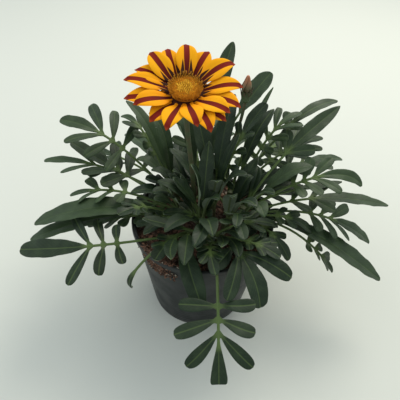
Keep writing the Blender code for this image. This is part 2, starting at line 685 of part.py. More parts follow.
def build_soil(parts, stems):
    """The block of soil: tapered with the pot, lumpy on top, with a plain hole for each stem."""
    rng = random.Random(3)
    floor = FLOOR_RAISE + WALL + CLEARANCE
    gap = WALL + CLEARANCE + 0.15  # the flats of both walls come this little closer
    rim_radius, foot_radius = pot_outer(SOIL_TOP) - gap, pot_outer(floor) - gap
    turns = [2 * math.pi * i / POT_SIDES for i in range(POT_SIDES)]
    spots = [Vector((rim_radius * math.cos(t), rim_radius * math.sin(t))) for t in turns]
    for _ in range(SOIL_POINTS * 20):
        r, t = (rim_radius - 3) * math.sqrt(rng.random()), rng.uniform(0, 2 * math.pi)
        spot = Vector((r * math.cos(t), r * math.sin(t)))
        if min((spot - other).length for other in spots) > SOIL_GRAIN:
            spots.append(spot)
        if len(spots) == SOIL_POINTS + POT_SIDES:
            break
    faces = delaunay_2d_cdt(spots, [], [], 0, 0.01)[2]
    points = [(x, y, SOIL_TOP) for x, y in spots[:POT_SIDES]]
    points += [(x, y, soil_height(x, y, rng)) for x, y in spots[POT_SIDES:]]
    first = len(points)
    points += [(foot_radius * math.cos(t), foot_radius * math.sin(t), floor) for t in turns]
    for i in range(POT_SIDES):
        j = (i + 1) % POT_SIDES
        faces.append((j, i, first + i, first + j))
    faces.append(tuple(first + i for i in reversed(range(POT_SIDES))))
    soil = add_object("soil", mesh_from("soil", points, faces), parts)
    cutters = new_collection("soil_cutters")
    for centre, radius, sides in stems:
        cylinder("hole", cutters, centre, radius + HOLE_GAP, HOLE_DEPTH_Z - CLEARANCE, SOIL_TOP + 12, sides)
    finish(combine(soil, cutters, "DIFFERENCE"), (0.060, 0.032, 0.018), 0.95)


def build_shoot(parts, name, crown, leaves):
    """A short stem with its leaves, grown as one."""
    top = stem_top(len(leaves))
    narrow = STEM_RADIUS * 0.7
    stem = cylinder("shoot_" + name, parts, crown, STEM_RADIUS, HOLE_DEPTH_Z, top, STEM_SIDES, narrow)
    grown = new_collection("leaves_" + name)
    for rib, flat, faces in leaves:
        blade("leaf", grown, rib.lay(flat), faces, LEAF_THICKNESS)
    finish(combine(stem, grown, "UNION"), (0.045, 0.095, 0.035), 0.5)


def bloom_matrix():
    return Matrix.Translation(Vector(BLOOM_CENTRE) * MM) @ Matrix.Rotation(math.radians(BLOOM_TILT), 4, "X")


def ring_of_bracts(group, count, root, tip, half):
    """Pointed bracts round an upright axis, from (radius, height) at the root to the same at the tip."""
    for k in range(count):
        azimuth = 360 * k / count
        start = heading(azimuth, 0) * root[0] + (0, 0, root[1])
        end = heading(azimuth, 0) * tip[0] + (0, 0, tip[1])
        steep = math.degrees(math.atan2(tip[1] - root[1], tip[0] - root[0]))
        rib = Rib(Leaf(tuple(end), steep + 18, -steep - 12, 0, 0), start)
        rows = [(rib.length * t, half * w) for t, w in ((0, 0.9), (0.45, 1.0), (0.8, 0.6))]
        points, faces = strip(rows, rib.length)
        blade("bract", group, rib.lay(np.array(points)), faces, LEAF_THICKNESS)


def build_flower_stalk(parts):
    """The stalk with the green cup and its bracts under the bloom."""
    stalk = wire("flower_stalk", parts, flower_stalk_path(), STALK_RADIUS)
    grown = new_collection("bracts")
    turned("cup", grown, CUP_PROFILE, 12)
    ring_of_bracts(grown, BRACT_COUNT, BRACT_ROOT, BRACT_TIP, BRACT_HALF)
    for piece in list(grown.objects):
        piece.matrix_world = bloom_matrix()
    finish(combine(stalk, grown, "UNION"), (0.090, 0.120, 0.040), 0.5)


def ray_ribs():
    """The midrib of every petal in the bloom's frame. Those of the upper layers arch more."""
    rng = random.Random(11)
    for ray in RAYS:
        root = heading(ray.root, 0) * RAY_ROOT + (0, 0, RAY_ROOT_LOW + RAY_ROOT_STEP * ray.layer)
        tip = heading(ray.tip, 0) * ray.length + (0, 0, RAY_TIP_LOW + RAY_TIP_STEP * ray.layer)
        rise, dip = RAY_RISE + RAY_RISE_STEP * ray.layer, RAY_DIP + RAY_DIP_STEP * ray.layer
        twist = rng.uniform(-RAY_TWIST, RAY_TWIST)
        yield Rib(Leaf(tuple(tip), rise, dip, 0, 0, twist=twist, sway=ray.root - ray.tip), root)


def ray_width(t):
    """Share of a ray's full width along it: a narrow claw, widest past the middle, then a point."""
    return (t / 0.54) ** 1.29 * ((1 - t) / 0.46) ** 1.1 if 0 < t < 1 else 0.0


def build_ray_florets(parts):
    """The ring of petals on the low cone that they grow from."""
    low, high = RECEPTACLE_LOW, RECEPTACLE_HIGH
    cone = cylinder("ray_florets", parts, (0, 0), RECEPTACLE_RADIUS, low, high, 24, RECEPTACLE_TOP_RADIUS)
    grown = new_collection("rays")
    for rib in ray_ribs():
        rows = [(rib.length * t, max(RAY_HALF * ray_width(t), RAY_CLAW)) for t in RAY_STATIONS]
        points, faces = strip(rows, rib.length)
        blade("ray", grown, rib.lay(np.array(points)), faces, RAY_THICKNESS)
    petals = combine(cone, grown, "UNION")
    petals.matrix_world = bloom_matrix()
    finish(petals, (0.85, 0.42, 0.01), 0.5)


def build_disc_florets(parts):
    """The domed middle, covered with florets in the spiral that such flowers have."""
    arc = [math.pi / 2 * (1 - k / DOME_STEPS) for k in range(DOME_STEPS + 1)]
    profile = [(DISC_RADIUS * math.cos(a), DISC_BASE + DISC_HEIGHT * math.sin(a)) for a in arc]
    profile[0] = (0, profile[0][1])
    dome = turned("disc_florets", parts, profile + [(0, DISC_BASE)], 18)
    grown = new_collection("florets")
    for k in range(FLORET_COUNT):
        share = math.sqrt((k + 0.5) / FLORET_COUNT) * 0.93
        turn = k * GOLDEN_ANGLE
        lean = math.asin(share)
        ground = Vector((DISC_RADIUS * share * math.cos(turn), DISC_RADIUS * share * math.sin(turn), 0))
        ground.z = DISC_BASE + DISC_HEIGHT * math.cos(lean)
        outward = Vector((math.cos(turn) * share * 0.8, math.sin(turn) * share * 0.8, 1)).normalized()
        top, narrow = FLORET_HEIGHT - FLORET_SUNK, FLORET_RADIUS * 0.45
        floret = cylinder("floret", grown, (0, 0), FLORET_RADIUS, -FLORET_SUNK, top, 4, narrow)
        turned_out = Vector((0, 0, 1)).rotation_difference(outward).to_matrix().to_4x4()
        floret.matrix_world = Matrix.Translation(ground * MM) @ turned_out
    disc = combine(dome, grown, "UNION")
    disc.matrix_world = bloom_matrix()
    finish(disc, (0.60, 0.22, 0.01), 0.7)


def bud_width(t):
    """Share of the closed petals' full radius, from their root at 0 to their blunt tips at 1."""
    return (0.78 + 0.22 * math.sin(math.pi * min(t * 1.5, 1))) * (1 - 0.66 * t**4)


def build_bud(parts):
    """The bud: a stalk with a cup of bracts, and the closed petals that stand out of it."""
    height = BUD_CUP_HEIGHT
    stalk = wire("bud_stalk", parts, bud_stalk_path(), BUD_STALK_RADIUS)
    grown = new_collection("bud_bracts")
    profile = [(0, height), (BUD_CUP_RADIUS * 0.9, height), (BUD_CUP_RADIUS, height * 0.6)]
    profile += [(BUD_CUP_RADIUS * 0.8, height * 0.2), (BUD_STALK_RADIUS, 0), (0, 0)]
    turned("cup", grown, profile, 10)
    root, tip = (BUD_CUP_RADIUS * 0.86, height * 0.5), (BUD_RADIUS + 1.5, height + 4.5)
    ring_of_bracts(grown, BUD_BRACTS, root, tip, BUD_BRACT_HALF)
    for piece in list(grown.objects):
        piece.matrix_world = Matrix.Translation(Vector(BUD_CENTRE) * MM)
    finish(combine(stalk, grown, "UNION"), (0.10, 0.11, 0.04), 0.5)

    rings, around = 8, 3 * BUD_PETALS
    points, faces = [], []
    for ring in range(rings):
        t = ring / (rings - 1)
        swell = BUD_RADIUS * bud_width(t)
        for k in range(around):
            turn = 2 * math.pi * k / around
            radius = swell * (1 + 0.09 * math.cos(BUD_PETALS * turn))
            turn += BUD_TURN * t
            points.append((radius * math.cos(turn), radius * math.sin(turn), BUD_LENGTH * t))
    for ring in range(rings - 1):
        for k in range(around):
            a, b = ring * around + k, ring * around + (k + 1) % around
            faces += [(a, b, b + around), (a, b + around, a + around)]
    faces.append(tuple(reversed(range(around))))
    faces.append(tuple((rings - 1) * around + k for k in range(around)))
    petals = add_object("bud_petals", mesh_from("bud_petals", points, faces), parts)
    petals.location = (Vector(BUD_CENTRE) + Vector((0, 0, height + CLEARANCE))) * MM
    finish(petals, (0.50, 0.12, 0.02), 0.55)


def new_collection(name):
    group = bpy.data.collections.new(name)
    bpy.context.scene.collection.children.link(group)
    return group


def main():
    for obj in list(bpy.data.objects):
        bpy.data.objects.remove(obj)
    parts = new_collection("potted_gazania")
    build_pot(parts)
    stems = [(crown, STEM_RADIUS, STEM_SIDES) for crown, _ in SHOOTS.values()]
    stems += [(STALK_FOOT, STALK_RADIUS, 12), (BUD_FOOT, BUD_STALK_RADIUS, 12)]
    build_soil(parts, stems)
    for name, leaves in place_leaves().items():
        build_shoot(parts, name, SHOOTS[name][0], leaves)
    build_flower_stalk(parts)
    build_ray_florets(parts)
    build_disc_florets(parts)
    build_bud(parts)


if __name__ == "__main__":
    main()
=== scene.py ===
"""Potted gazania, dressed: fine leaves, striped petals, florets, bud, pot and soil.

The plant's layout repeats the one that its solids were made with: the same table of leaves, the same
curves and the same rule by which each leaf finds room. Sizes are in millimetres and angles in degrees
unless a name says otherwise, and MM turns lengths into Blender's metres.
"""
import math
import random
from typing import NamedTuple

import bmesh
import bpy
import numpy as np
from mathutils import Euler, Matrix, Vector, noise
from mathutils.bvhtree import BVHTree


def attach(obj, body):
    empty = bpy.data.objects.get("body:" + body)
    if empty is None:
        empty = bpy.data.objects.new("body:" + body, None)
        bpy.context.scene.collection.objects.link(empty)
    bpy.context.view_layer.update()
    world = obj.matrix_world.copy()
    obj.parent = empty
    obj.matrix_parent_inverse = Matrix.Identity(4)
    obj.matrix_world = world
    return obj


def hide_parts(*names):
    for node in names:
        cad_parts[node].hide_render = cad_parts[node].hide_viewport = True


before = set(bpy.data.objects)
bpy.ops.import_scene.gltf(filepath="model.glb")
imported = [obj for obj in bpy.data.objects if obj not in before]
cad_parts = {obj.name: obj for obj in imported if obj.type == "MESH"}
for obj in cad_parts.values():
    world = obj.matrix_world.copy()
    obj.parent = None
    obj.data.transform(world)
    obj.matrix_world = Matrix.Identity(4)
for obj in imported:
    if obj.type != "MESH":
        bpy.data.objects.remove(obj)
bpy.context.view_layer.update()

MM = 0.001
CLEARANCE = 0.3  # gap that separate pieces keep
GOLDEN_ANGLE = math.pi * (3 - math.sqrt(5))
NO_LENGTH = 1e-12  # vectors shorter than this have no direction
ANY_TURN = 6.28  # a turn in radians is drawn from 0 to this

# Pot
POT_SIDES = 32
POT_FINE_SIDES = 128
POT_HEIGHT = 105.0
LIP_RADIUS = 65.0
LIP_HEIGHT = 5.0
LIP_PROUD = 2.0
BASE_RADIUS = 47.0
WALL = 1.4
LIP_EDGE = 1.0
FOOT_EDGE = 0.8
FLOOR_RAISE = 3.0  # height of the drained ring above the surface that the pot stands on
PAD_RADIUS = 22.0
FOOT_INNER_RADIUS = 42.0
DRAIN_HOLES = 6
DRAIN_RADIUS = 4.0
DRAIN_CIRCLE = 32.0
DRAIN_SIDES = 32
BAND_DEEP = 0.12  # half the depth of the faint bands round the lower wall
BANDS_TOP = 34.0  # height at which they have faded away

# Soil
SOIL_TOP = 97.0
SOIL_LUMP = 1.2
SOIL_LUMP_SIZE = 9.0
SOIL_CLEAR = 2.3  # height over the soil's level that its lumps don't reach
HOLE_DEPTH_Z = 62.0  # height of the lower ends of the stems that stand in the soil
HEAPS = ((5.0, 0.0, 0.9, 30.0), (-38.0, -36.0, 3.2, 14.0))  # x, y, height and reach of each
SOIL_RINGS = 46
SOIL_AROUND = 120
HEART_SHADE = 0.8  # share of its colour that the soil loses in the middle, under the leaves, as painted shade
CHIPS = 3000
CHIP_SIZE = (0.6, 2.3)  # the smallest, and what is added for the largest
CHIP_LENGTHS = (0.8, 1.0, 1.3, 2.2)  # against their width
PALE_CHIPS = 0.05  # share of them
LOOSE_CHIPS = 760
LOOSE_SIZE = (0.4, 1.3)
SPILL_AT = -127.0  # compass angle at which crumbs lie on the lip and stick to the wall
SPILL_SPREAD = 8.0
SPILL_DROP = 20.0  # height over which they lie

# Leaves as in the solids, which say where each one has room
RIB_STEPS = 24
ROOT_HALF = 2.4
PETIOLE_HALF = 1.7
PETIOLE_SHORTEST = 10.0
LOBE_ROOT_HALF = 3.2
WHOLE_BLADE = (0.6, 0.73)  # where a blade is widest, as a share of its length, and how pointed its tip is
END_LOBE = (0.64, 0.4)  # the same for the end lobe of a lobed leaf
WHOLE_STATIONS = (0.0, 0.24, 0.5, 0.76, 0.94)  # rows of points along a blade, as shares of its length
END_LOBE_STATIONS = (0.3, 0.64, 0.9)
LOBE_STATIONS = ((0.36, 0.76), (0.78, 0.94))  # place along a side lobe, and width there
LOBE_SIZES = (0.88, 1.1)  # random size of a side lobe, and its random turn
LOBE_TURN = 3.0
CUP = 0.22  # rise of a blade from its midrib towards its edges
CURL = 0.0045  # fall of the same edges, growing with the square of the distance
STEM_RADIUS = 4.6
LEAF_ROOT_LOW = 101.5
LEAF_ROOT_STEP = 1.8
LEAF_ROOT_OFF = 1.8  # distance of a leaf's root from its stem's middle
HEART = 15.0  # length of leaf, from its root, that may touch others of the same shoot
LEAF_CLEARANCE = 1.3

# Fine blades
FINE_RIB_STEPS = 120
BLADE_ROWS = 28
PETIOLE_ROWS = 12
LOBE_ROWS = 14
TIP_HALF = 0.02  # half width of a blade's last row, which is drawn together to a point
PETIOLE_FINE = 1.15  # half width of a petiole, whose sides the coarse solids draw straight
PETIOLE_DEEP = 0.95
BLADE_DEEP = 0.3  # half of a blade's thickness away from its midrib
MIDRIB_DEEP = 0.5
MIDRIB_REACH = 0.8
GROOVE_DEEP = 0.12
NEAR_RIB = (0.45, 1.0)  # columns of points beside a midrib
BLADE_SHARES = (0.3, 0.58, 0.82, 0.95, 1.0)  # columns from there to the margin
LOBE_SHARES = (0.4, 0.75, 0.93, 1.0)
MARGIN_WAVES = ((15.0, 0.012), (5.0, 0.005))  # length in mm and share of the width, of the wavy outline
LOBE_BANK = 13.0  # usual turn of a side lobe about its own midrib
LOBE_DROOP = (-0.04, 0.12)  # fall of its tip, as a share of its length
RIPPLES = ((19.0, 0.45), (8.0, 0.12))  # length and height in mm of the up and down waves of a margin

# Small leaves that fill the heart of the plant and are too fine for the coarse solids
SMALL_TRIES = 900
FIRST_SMALL = 1000  # numbers above this belong to such leaves
SMALL_REACH = (8.0, 62.0)  # how far from its shoot such a leaf ends
SMALL_HEIGHT = (112.0, 168.0)
PLACED_SMALL = (
    ("middle_left", (-16, 0, 143), 66, -40, 34, 5.5, 0),
    ("right", (78, 2, 104), 36, 50, 24, 5.5, 2),
    ("right", (98, -6, 96), 34, 50, 24, 5.5, 2),
    ("right", (86, -22, 92), 34, 56, 26, 5.5, 2),
    ("inner_right", (44, 8, 122), 66, 50, 44, 5.5, 0),
    ("front", (-16, -40, 112), 40, 30, 30, 6, 0),
    ("front_right", (30, -50, 108), 40, 40, 34, 7, 0),
    ("left", (-62, 22, 122), 40, 10, 40, 5.5, 2),
    ("left", (-84, 0, 112), 30, 20, 30, 5, 3),
)  # shoot, tip, rise, dip, length and half width of the blade, pairs of lobes

# Stems
STEM_FOOT = 88.0  # height in the soil at which the visible stems end
STEM_RINGS = 12
FINE_SIDES = 20

# Bloom, in a frame of its own: z = 0 where the petals leave the middle, and the face looks up Z
STALK_RADIUS = 2.0
STALK_STEPS = 6
STALK_IN_CUP = 1.0  # length of the stalk that runs on inside the cup
STALK_FOOT = (-8.0, 8.0)
STALK_POINTS = 60  # of the fine stalk, and how often its path is smoothed
STALK_SMOOTHINGS = 12
BLOOM_CENTRE = (-17.6, -6.3, 233.8)
BLOOM_TILT = 18.0
RAY_HALF = 7.8
RAY_TWIST = 6.0  # largest turn of a petal about its own middle
RAY_ROOT = 9.5
RAY_ROOT_LOW = -0.9  # height of a lowest petal's root, and what each layer adds
RAY_ROOT_STEP = 0.45
RAY_TIP_LOW = 3.6  # height of its tip, and what each layer adds
RAY_TIP_STEP = 2.0
RAY_RISE = 10.0  # angle at which it leaves the middle, and what each layer adds
RAY_RISE_STEP = 6.0
RAY_DIP = 10.0  # angle at which its tip points down, and what each layer adds
RAY_DIP_STEP = 5.0
RAY_CLAW = 2.3
PETAL_ROWS = 34
PETAL_SHARES = (0.25, 0.5, 0.75, 0.92, 1.0)
PETAL_DEEP = 0.22
PETAL_RIPPLE = ((18.0, 0.35),)  # as RIPPLES
CLAWS_MEET = 18.0  # distance from the middle within which neighbouring petals leave no gap
PLEATS = 3.0  # folds across half a petal
PLEAT_HIGH = 0.2
RECEPTACLE_RADIUS = 15.0
RECEPTACLE_TOP_RADIUS = 10.4
RECEPTACLE_LOW = -1.4
RECEPTACLE_HIGH = 1.7
BRIM = 2.6  # width of the thin edge under the feet of the petals
DISC_RADIUS = 11.2
DISC_HEIGHT = 3.2
DISC_BASE = 2.4
FLORETS = 220
FLORETS_REACH = 0.94  # share of the disc's radius that the florets cover
OPEN_FLORETS_FROM = 0.56  # share of the disc's radius outside which the florets are open
CUP_DEPTH = 15.0
CUP_PROFILE = ((0, -1.7), (9.6, -1.7), (10, -4), (8.8, -8), (6, -12), (2, -CUP_DEPTH), (0, -CUP_DEPTH))
CUP_BRACTS = 14  # in each of the rings below
CUP_BRACT_RINGS = (
    ((8.9, -9.5), (15.4, -2.4), 1.7, 0.0),
    ((9.4, -8.0), (11.8, -4.4), 1.5, 0.5),
    ((7.0, -12.0), (10.6, -7.6), 1.4, 0.25),
)  # radius and height of root and tip, half width, and turn as a share of the distance between two
BRACT_ROWS = 11
BRACT_COLUMNS = 7
BRACT_DEEP = 0.28

# Bud
BUD_STALK_RADIUS = 1.4
BUD_FOOT = (14.0, 46.0)
BUD_CENTRE = (30.0, 41.0, 201.0)  # where its stalk ends and its cup starts
BUD_CUP_RADIUS = 4.0
BUD_CUP_HEIGHT = 11.0
BUD_RADIUS = 3.9
BUD_LENGTH = 13.5
BUD_BRACTS = 8  # in each of these rings, whose values are as in CUP_BRACT_RINGS
BUD_BRACT_RINGS = (
    ((BUD_CUP_RADIUS * 0.86, BUD_CUP_HEIGHT * 0.5), (BUD_RADIUS + 1.5, BUD_CUP_HEIGHT + 4.5), 1.3, 0.0),
    ((BUD_CUP_RADIUS * 0.9, BUD_CUP_HEIGHT * 0.3), (BUD_RADIUS + 1.1, BUD_CUP_HEIGHT + 1.0), 1.3, 0.5),
)
BUD_PETALS = 5
BUD_TURN = 1.2  # twist of the closed petals, in radians
BUD_RINGS = 36
BUD_AROUND = 60

# Stage, with places and sizes in metres
WORLD_COLOUR = (0.81, 0.90, 0.92, 1.0)
WORLD_STRENGTH = 0.80
FLOOR_REACH = 6.0
FLOOR_COLOUR = (0.60, 0.61, 0.565)
LIGHTS = (
    ("key", (0.46, 0.74, 1.26), 16.0, 0.9, (1.0, 0.95, 0.83)),
    ("fill", (-1.0, 0.0, 0.9), 4.2, 1.2, (0.94, 0.97, 1.0)),
)  # name, place, watts, size and colour

# Camera
LENS = 38.7
SENSOR = 36.0
CAMERA_PITCH = 42.5
CAMERA_ROLL = 3.0
CAMERA_TARGET = (-3.4, 0.0, 126.0)
CAMERA_DISTANCE = 381.0

TOP, UNDERSIDE, STEM_SLOT = 0, 1, 2  # places in a leaf's list of materials


class Leaf(NamedTuple):
    """One leaf: where its tip is, how its midrib leaves and arrives, and the outline of its blade."""

    tip: tuple
    rise: float  # angle above level at the root
    dip: float  # angle below level at the tip
    blade: float  # length of the blade, or of the end lobe where there are pairs of lobes
    half: float  # half of that blade's width
    pairs: int = 0
    gap: float = 15.0  # distance between pairs of lobes along the rib
    lobe: float = 29.0  # length of the lobes next to the end lobe
    lobe_half: float = 4.5
    spread: float = 42.0  # angle between the rib and the lobes next to the end lobe
    fan: float = 16.0  # extra spread of each pair of lobes over the pair nearer the tip
    fade: float = 0.84  # size of each pair of lobes against the pair nearer the tip
    roll: float = 0.0  # turn of the blade about its midrib, reached at the tip
    twist: float = 0.0  # turn of the whole blade about its midrib
    sway: float = 0.0  # sideways bend of the midrib
    form: tuple = ()  # as WHOLE_BLADE, for a blade of another form


class Lobe(NamedTuple):
    """One side lobe of a cut leaf."""

    side: int  # 1 to the left of the leaf's rib and -1 to its right
    place: float  # distance of its root along that rib
    angle: float  # between it and the rib, in radians
    length: float
    half: float


class Ray(NamedTuple):
    """One petal, in the bloom's own frame."""

    root: float  # compass angle at which it leaves the middle
    tip: float  # compass angle of its tip
    length: float  # distance of its tip from the middle
    layer: float  # 0 under its neighbours, 2 over them


RAYS = (
    Ray(89.7, 92.8, 41.3, 2),
    Ray(70.0, 67.5, 39.4, 1),
    Ray(42.9, 33.6, 41.7, 2),
    Ray(9.7, 4.2, 40.6, 1),
    Ray(-15.1, -21.7, 41.8, 0.6),
    Ray(-41.8, -36.8, 39.2, 2),
    Ray(-50.0, -42.4, 39.6, 0),
    Ray(-59.9, -63.0, 42.9, 1),
    Ray(-78.5, -74.1, 37.5, 2),
    Ray(-103.2, -105.4, 40.0, 1),
    Ray(-124.0, -125.6, 37.9, 0),
    Ray(-144.2, -149.2, 39.8, 2),
    Ray(-160.0, -164.1, 43.5, 0),
    Ray(170.5, 174.8, 44.1, 1),
    Ray(150.6, 157.9, 40.7, 0.5),
    Ray(139.6, 133.0, 41.6, 2),
    Ray(121.5, 112.9, 40.9, 1),
)

SHOOTS = {
    "front": ((-12, -20), [
        Leaf((4, -88, 88), 38, 62, 84, 8.5, sway=-36),
        Leaf((-152, -48, 97), 8, 6, 56, 9, pairs=3, gap=11, lobe=36, spread=64, fade=0.74, twist=-12,
             sway=12),
        Leaf((-56, -68, 86), 52, 122, 22, 2.8, sway=12, form=(0.6, 0.5)),
    ]),
    "front_right": ((10, -22), [
        Leaf((18, -136, 64), 34, 40, 34, 6.5, pairs=3, gap=10, lobe=34, lobe_half=5.4, spread=47, fan=24,
             fade=0.96, form=(0.9, 0.12)),
        Leaf((49, -84, 72), 34, 62, 46, 9, pairs=3, gap=8, lobe=42, lobe_half=6.8, fan=22, sway=18),
        Leaf((66, -14, 94), 44, 40, 28, 5, pairs=2, gap=9, lobe=20),
    ]),
    "left": ((-20, 3), [
        Leaf((-104, -12, 86), 14, 20, 26, 5, pairs=3, gap=10, lobe=18),
        Leaf((-148, -40, 96), 16, 24, 95, 9, form=(0.6, 0.55)),
        Leaf((-147, -23, 102), 22, 26, 118, 12, form=(0.56, 0.55)),
        Leaf((-122, 8, 110), 30, 30, 26, 3.5, pairs=3, gap=12, lobe=22),
        Leaf((-126, 46, 148), 26, -20, 48, 7.5, pairs=2, gap=10, lobe=34, lobe_half=5.5, spread=50),
        Leaf((-44, -4, 128), 52, 6, 40, 6),
    ]),
    "right": ((36, 3), [
        Leaf((124, -24, 66), 30, 55, 18, 4.5, pairs=3, gap=10, lobe=14),
        Leaf((165, -34, 70), 24, 32, 116, 11.5, form=(0.64, 0.55)),
        Leaf((161, 3, 80), 26, 44, 50, 8, pairs=3, gap=10, lobe=28, lobe_half=5, twist=8, form=(0.6, 0.5)),
        Leaf((169, 12, 120), 32, 16, 72, 7.5, pairs=2, gap=16, lobe=26, lobe_half=5, form=(0.52, 0.65)),
        Leaf((36, -40, 116), 64, 40, 40, 7),
        Leaf((138, 12, 142), 50, 54, 46, 5.6, pairs=3, gap=9, lobe=26, roll=35, form=(0.6, 0.5)),
        Leaf((126, 26, 134), 40, -6, 50, 4.5),
        Leaf((92, 15, 146), 50, 10, 54, 8.5),
        Leaf((119, 68, 188), 58, -20, 64, 7, pairs=1, lobe=24, lobe_half=5.5, roll=25, form=(0.5, 0.75)),
    ]),
    "back_left": ((-26, 26), [
        Leaf((-150, 34, 128), 30, 14, 44, 5, pairs=3, gap=12),
        Leaf((-134, 52, 168), 44, 6, 38, 7, pairs=3, gap=11, lobe=38, lobe_half=4.6, spread=48, fan=20,
             twist=-14),
        Leaf((-92, 128, 104), 28, 28, 88, 8),
        Leaf((-130, 90, 108), 26, 20, 50, 6, pairs=3),
        Leaf((-84, 66, 158), 50, 24, 22, 4, pairs=4, gap=9, lobe=15),
        Leaf((-75, 64, 184), 58, -8, 84, 6.5),
        Leaf((-52, 46, 184), 66, -10, 84, 7),
        Leaf((-62, 26, 148), 56, 6, 66, 7),
    ]),
    "back_right": ((25, 26), [
        Leaf((123, 91, 180), 62, 14, 60, 5.6, pairs=1, lobe=16, twist=10, form=(0.56, 0.6)),
        Leaf((140, 80, 120), 30, 22, 48, 6, pairs=3),
        Leaf((85, 65, 168), 58, 10, 28, 4, pairs=4, gap=10, lobe=24, lobe_half=3.5),
        Leaf((112, 72, 150), 46, 10, 34, 5, pairs=3, gap=11),
        Leaf((94, 132, 104), 28, 26, 80, 7.5),
        Leaf((96, 118, 118), 34, 24, 46, 6, pairs=4, gap=13),
        Leaf((57, 74, 200), 74, -30, 70, 2.6),
        Leaf((54, 84, 176), 66, -20, 60, 3.5),
    ]),
    "back": ((-4, 38), [
        Leaf((18, 165, 112), 26, 24, 50, 6.5, pairs=3),
        Leaf((58, 150, 100), 24, 30, 90, 8),
        Leaf((-36, 160, 120), 34, 16, 90, 8.5),
        Leaf((-26, 112, 170), 55, 10, 48, 6, pairs=3),
        Leaf((-34, 70, 178), 68, 0, 70, 7),
        Leaf((55, 86, 208), 66, -36, 46, 10.5, form=(0.6, 0.5)),
        Leaf((18.5, 92, 232), 82, -44, 84, 7.8, form=(0.62, 0.6)),
        Leaf((24, 66, 178), 72, -20, 70, 7),
        Leaf((-10, 126, 88), 30, 56, 70, 7),
        Leaf((36, 108, 84), 34, 66, 60, 7),
    ]),
    "inner_left": ((-1, -8), [
        Leaf((-30, -50, 136), 62, 14, 56, 7),
        Leaf((8, -54, 138), 66, 16, 50, 7.5),
        Leaf((-40, -6, 150), 62, 4, 60, 7.5),
        Leaf((-16, 14, 146), 70, -50, 34, 3.5),
        Leaf((2, 34, 166), 76, -40, 60, 6.5),
        Leaf((-12, -8, 172), 82, -60, 64, 6.5),
    ]),
    "inner_right": ((21, -7), [
        Leaf((32, -58, 128), 60, 24, 30, 5, pairs=2, gap=9, lobe=20),
        Leaf((47, 30, 154), 66, -16, 60, 6),
        Leaf((24, -22, 150), 74, -4, 40, 6),
        Leaf((42, -34, 134), 68, 20, 44, 6.5),
    ]),
    "centre": ((8, 8), [
        Leaf((46, 47, 206), 78, -30, 34, 6.5, pairs=4, gap=13, lobe=14, lobe_half=3.2, fade=1.0),
        Leaf((-36, 24, 158), 66, -6, 60, 7),
        Leaf((22, 54, 184), 76, -20, 80, 7),
        Leaf((-6, 62, 186), 76, -30, 80, 7.5),
        Leaf((27, 24, 176), 80, -50, 70, 4.5),
        Leaf((10, -14, 160), 80, -30, 46, 6),
        Leaf((36, 0, 152), 70, 10, 56, 7),
        Leaf((-20, 40, 160), 70, -20, 60, 7),
    ]),
    "middle_left": ((-14, 19), [
        Leaf((-64, -2, 128), 48, 22, 56, 7),
        Leaf((-48, 16, 144), 58, 12, 50, 6.5),
        Leaf((-38, 50, 156), 68, -4, 64, 6.5),
    ]),
    "middle_right": ((23, 12), [
        Leaf((86, -14, 128), 44, 20, 54, 6),
        Leaf((84, 44, 126), 50, 10, 30, 5, pairs=2, gap=10, lobe=20),
        Leaf((78, 26, 142), 54, 6, 60, 6.5),
        Leaf((58, 56, 164), 66, -10, 66, 6.5),
    ]),
}

NUDGES = sorted(
    ((swing, lift) for swing in range(-24, 25, 4) for lift in range(-30, 31, 6)),
    key=lambda move: (move[0] / 4) ** 2 + (move[1] / 6) ** 2,
)


def heading(azimuth, pitch):
    """Unit vector at a compass angle from +X and an angle above level."""
    a, p = math.radians(azimuth), math.radians(pitch)
    return np.array([math.cos(a) * math.cos(p), math.sin(a) * math.cos(p), math.sin(p)])


def unit(rows):
    """The rows as unit vectors. A row of no length stays as it is, since it has no direction."""
    return rows / np.maximum(np.linalg.norm(rows, axis=-1, keepdims=True), NO_LENGTH)


def bezier(start, a, b, end, count):
    """Points along a cubic curve from start to end, with a and b as its handles."""
    t = np.linspace(0, 1, count)[:, None]
    return (1 - t) ** 3 * start + 3 * t * (1 - t) ** 2 * a + 3 * t**2 * (1 - t) * b + t**3 * end


class Rib:
    """A leaf's midrib, one cubic curve that is read by the distance along it."""

    def __init__(self, leaf, root, steps=RIB_STEPS):
        root, tip = np.array(root, float), np.array(leaf.tip, float)
        span = np.linalg.norm(tip - root)
        azimuth = math.degrees(math.atan2(tip[1] - root[1], tip[0] - root[0]))
        leave = root + heading(azimuth + leaf.sway, leaf.rise) * span * 0.40
        arrive = tip - heading(azimuth - leaf.sway, -leaf.dip) * span * 0.36
        self.points = bezier(root, leave, arrive, tip, steps + 1)
        gaps = np.linalg.norm(np.diff(self.points, axis=0), axis=1)
        self.along = np.concatenate([[0.0], np.cumsum(gaps)])
        self.length = self.along[-1]
        tangent = unit(np.gradient(self.points, self.along, axis=0))
        level = heading(azimuth + 90, 0)
        side = unit(level - tangent * (tangent @ level)[:, None])
        normal = np.cross(tangent, side)
        roll = np.radians(leaf.twist + leaf.roll * self.along / self.length)[:, None]
        self.side = side * np.cos(roll) + normal * np.sin(roll)
        self.normal = normal * np.cos(roll) - side * np.sin(roll)

    def read(self, table, u):
        return np.stack([np.interp(u, self.along, table[:, axis]) for axis in range(3)], axis=1)

    def lay(self, flat, lift=0.0):
        """Lays a flat pattern of (along, across) points on the curve, cupped along the midrib."""
        u, v = flat[:, 0], flat[:, 1:]
        reach = np.abs(v)
        height = CUP * reach - CURL * reach**2 + lift
        return self.read(self.points, u) + self.read(self.side, u) * v + self.read(self.normal, u) * height


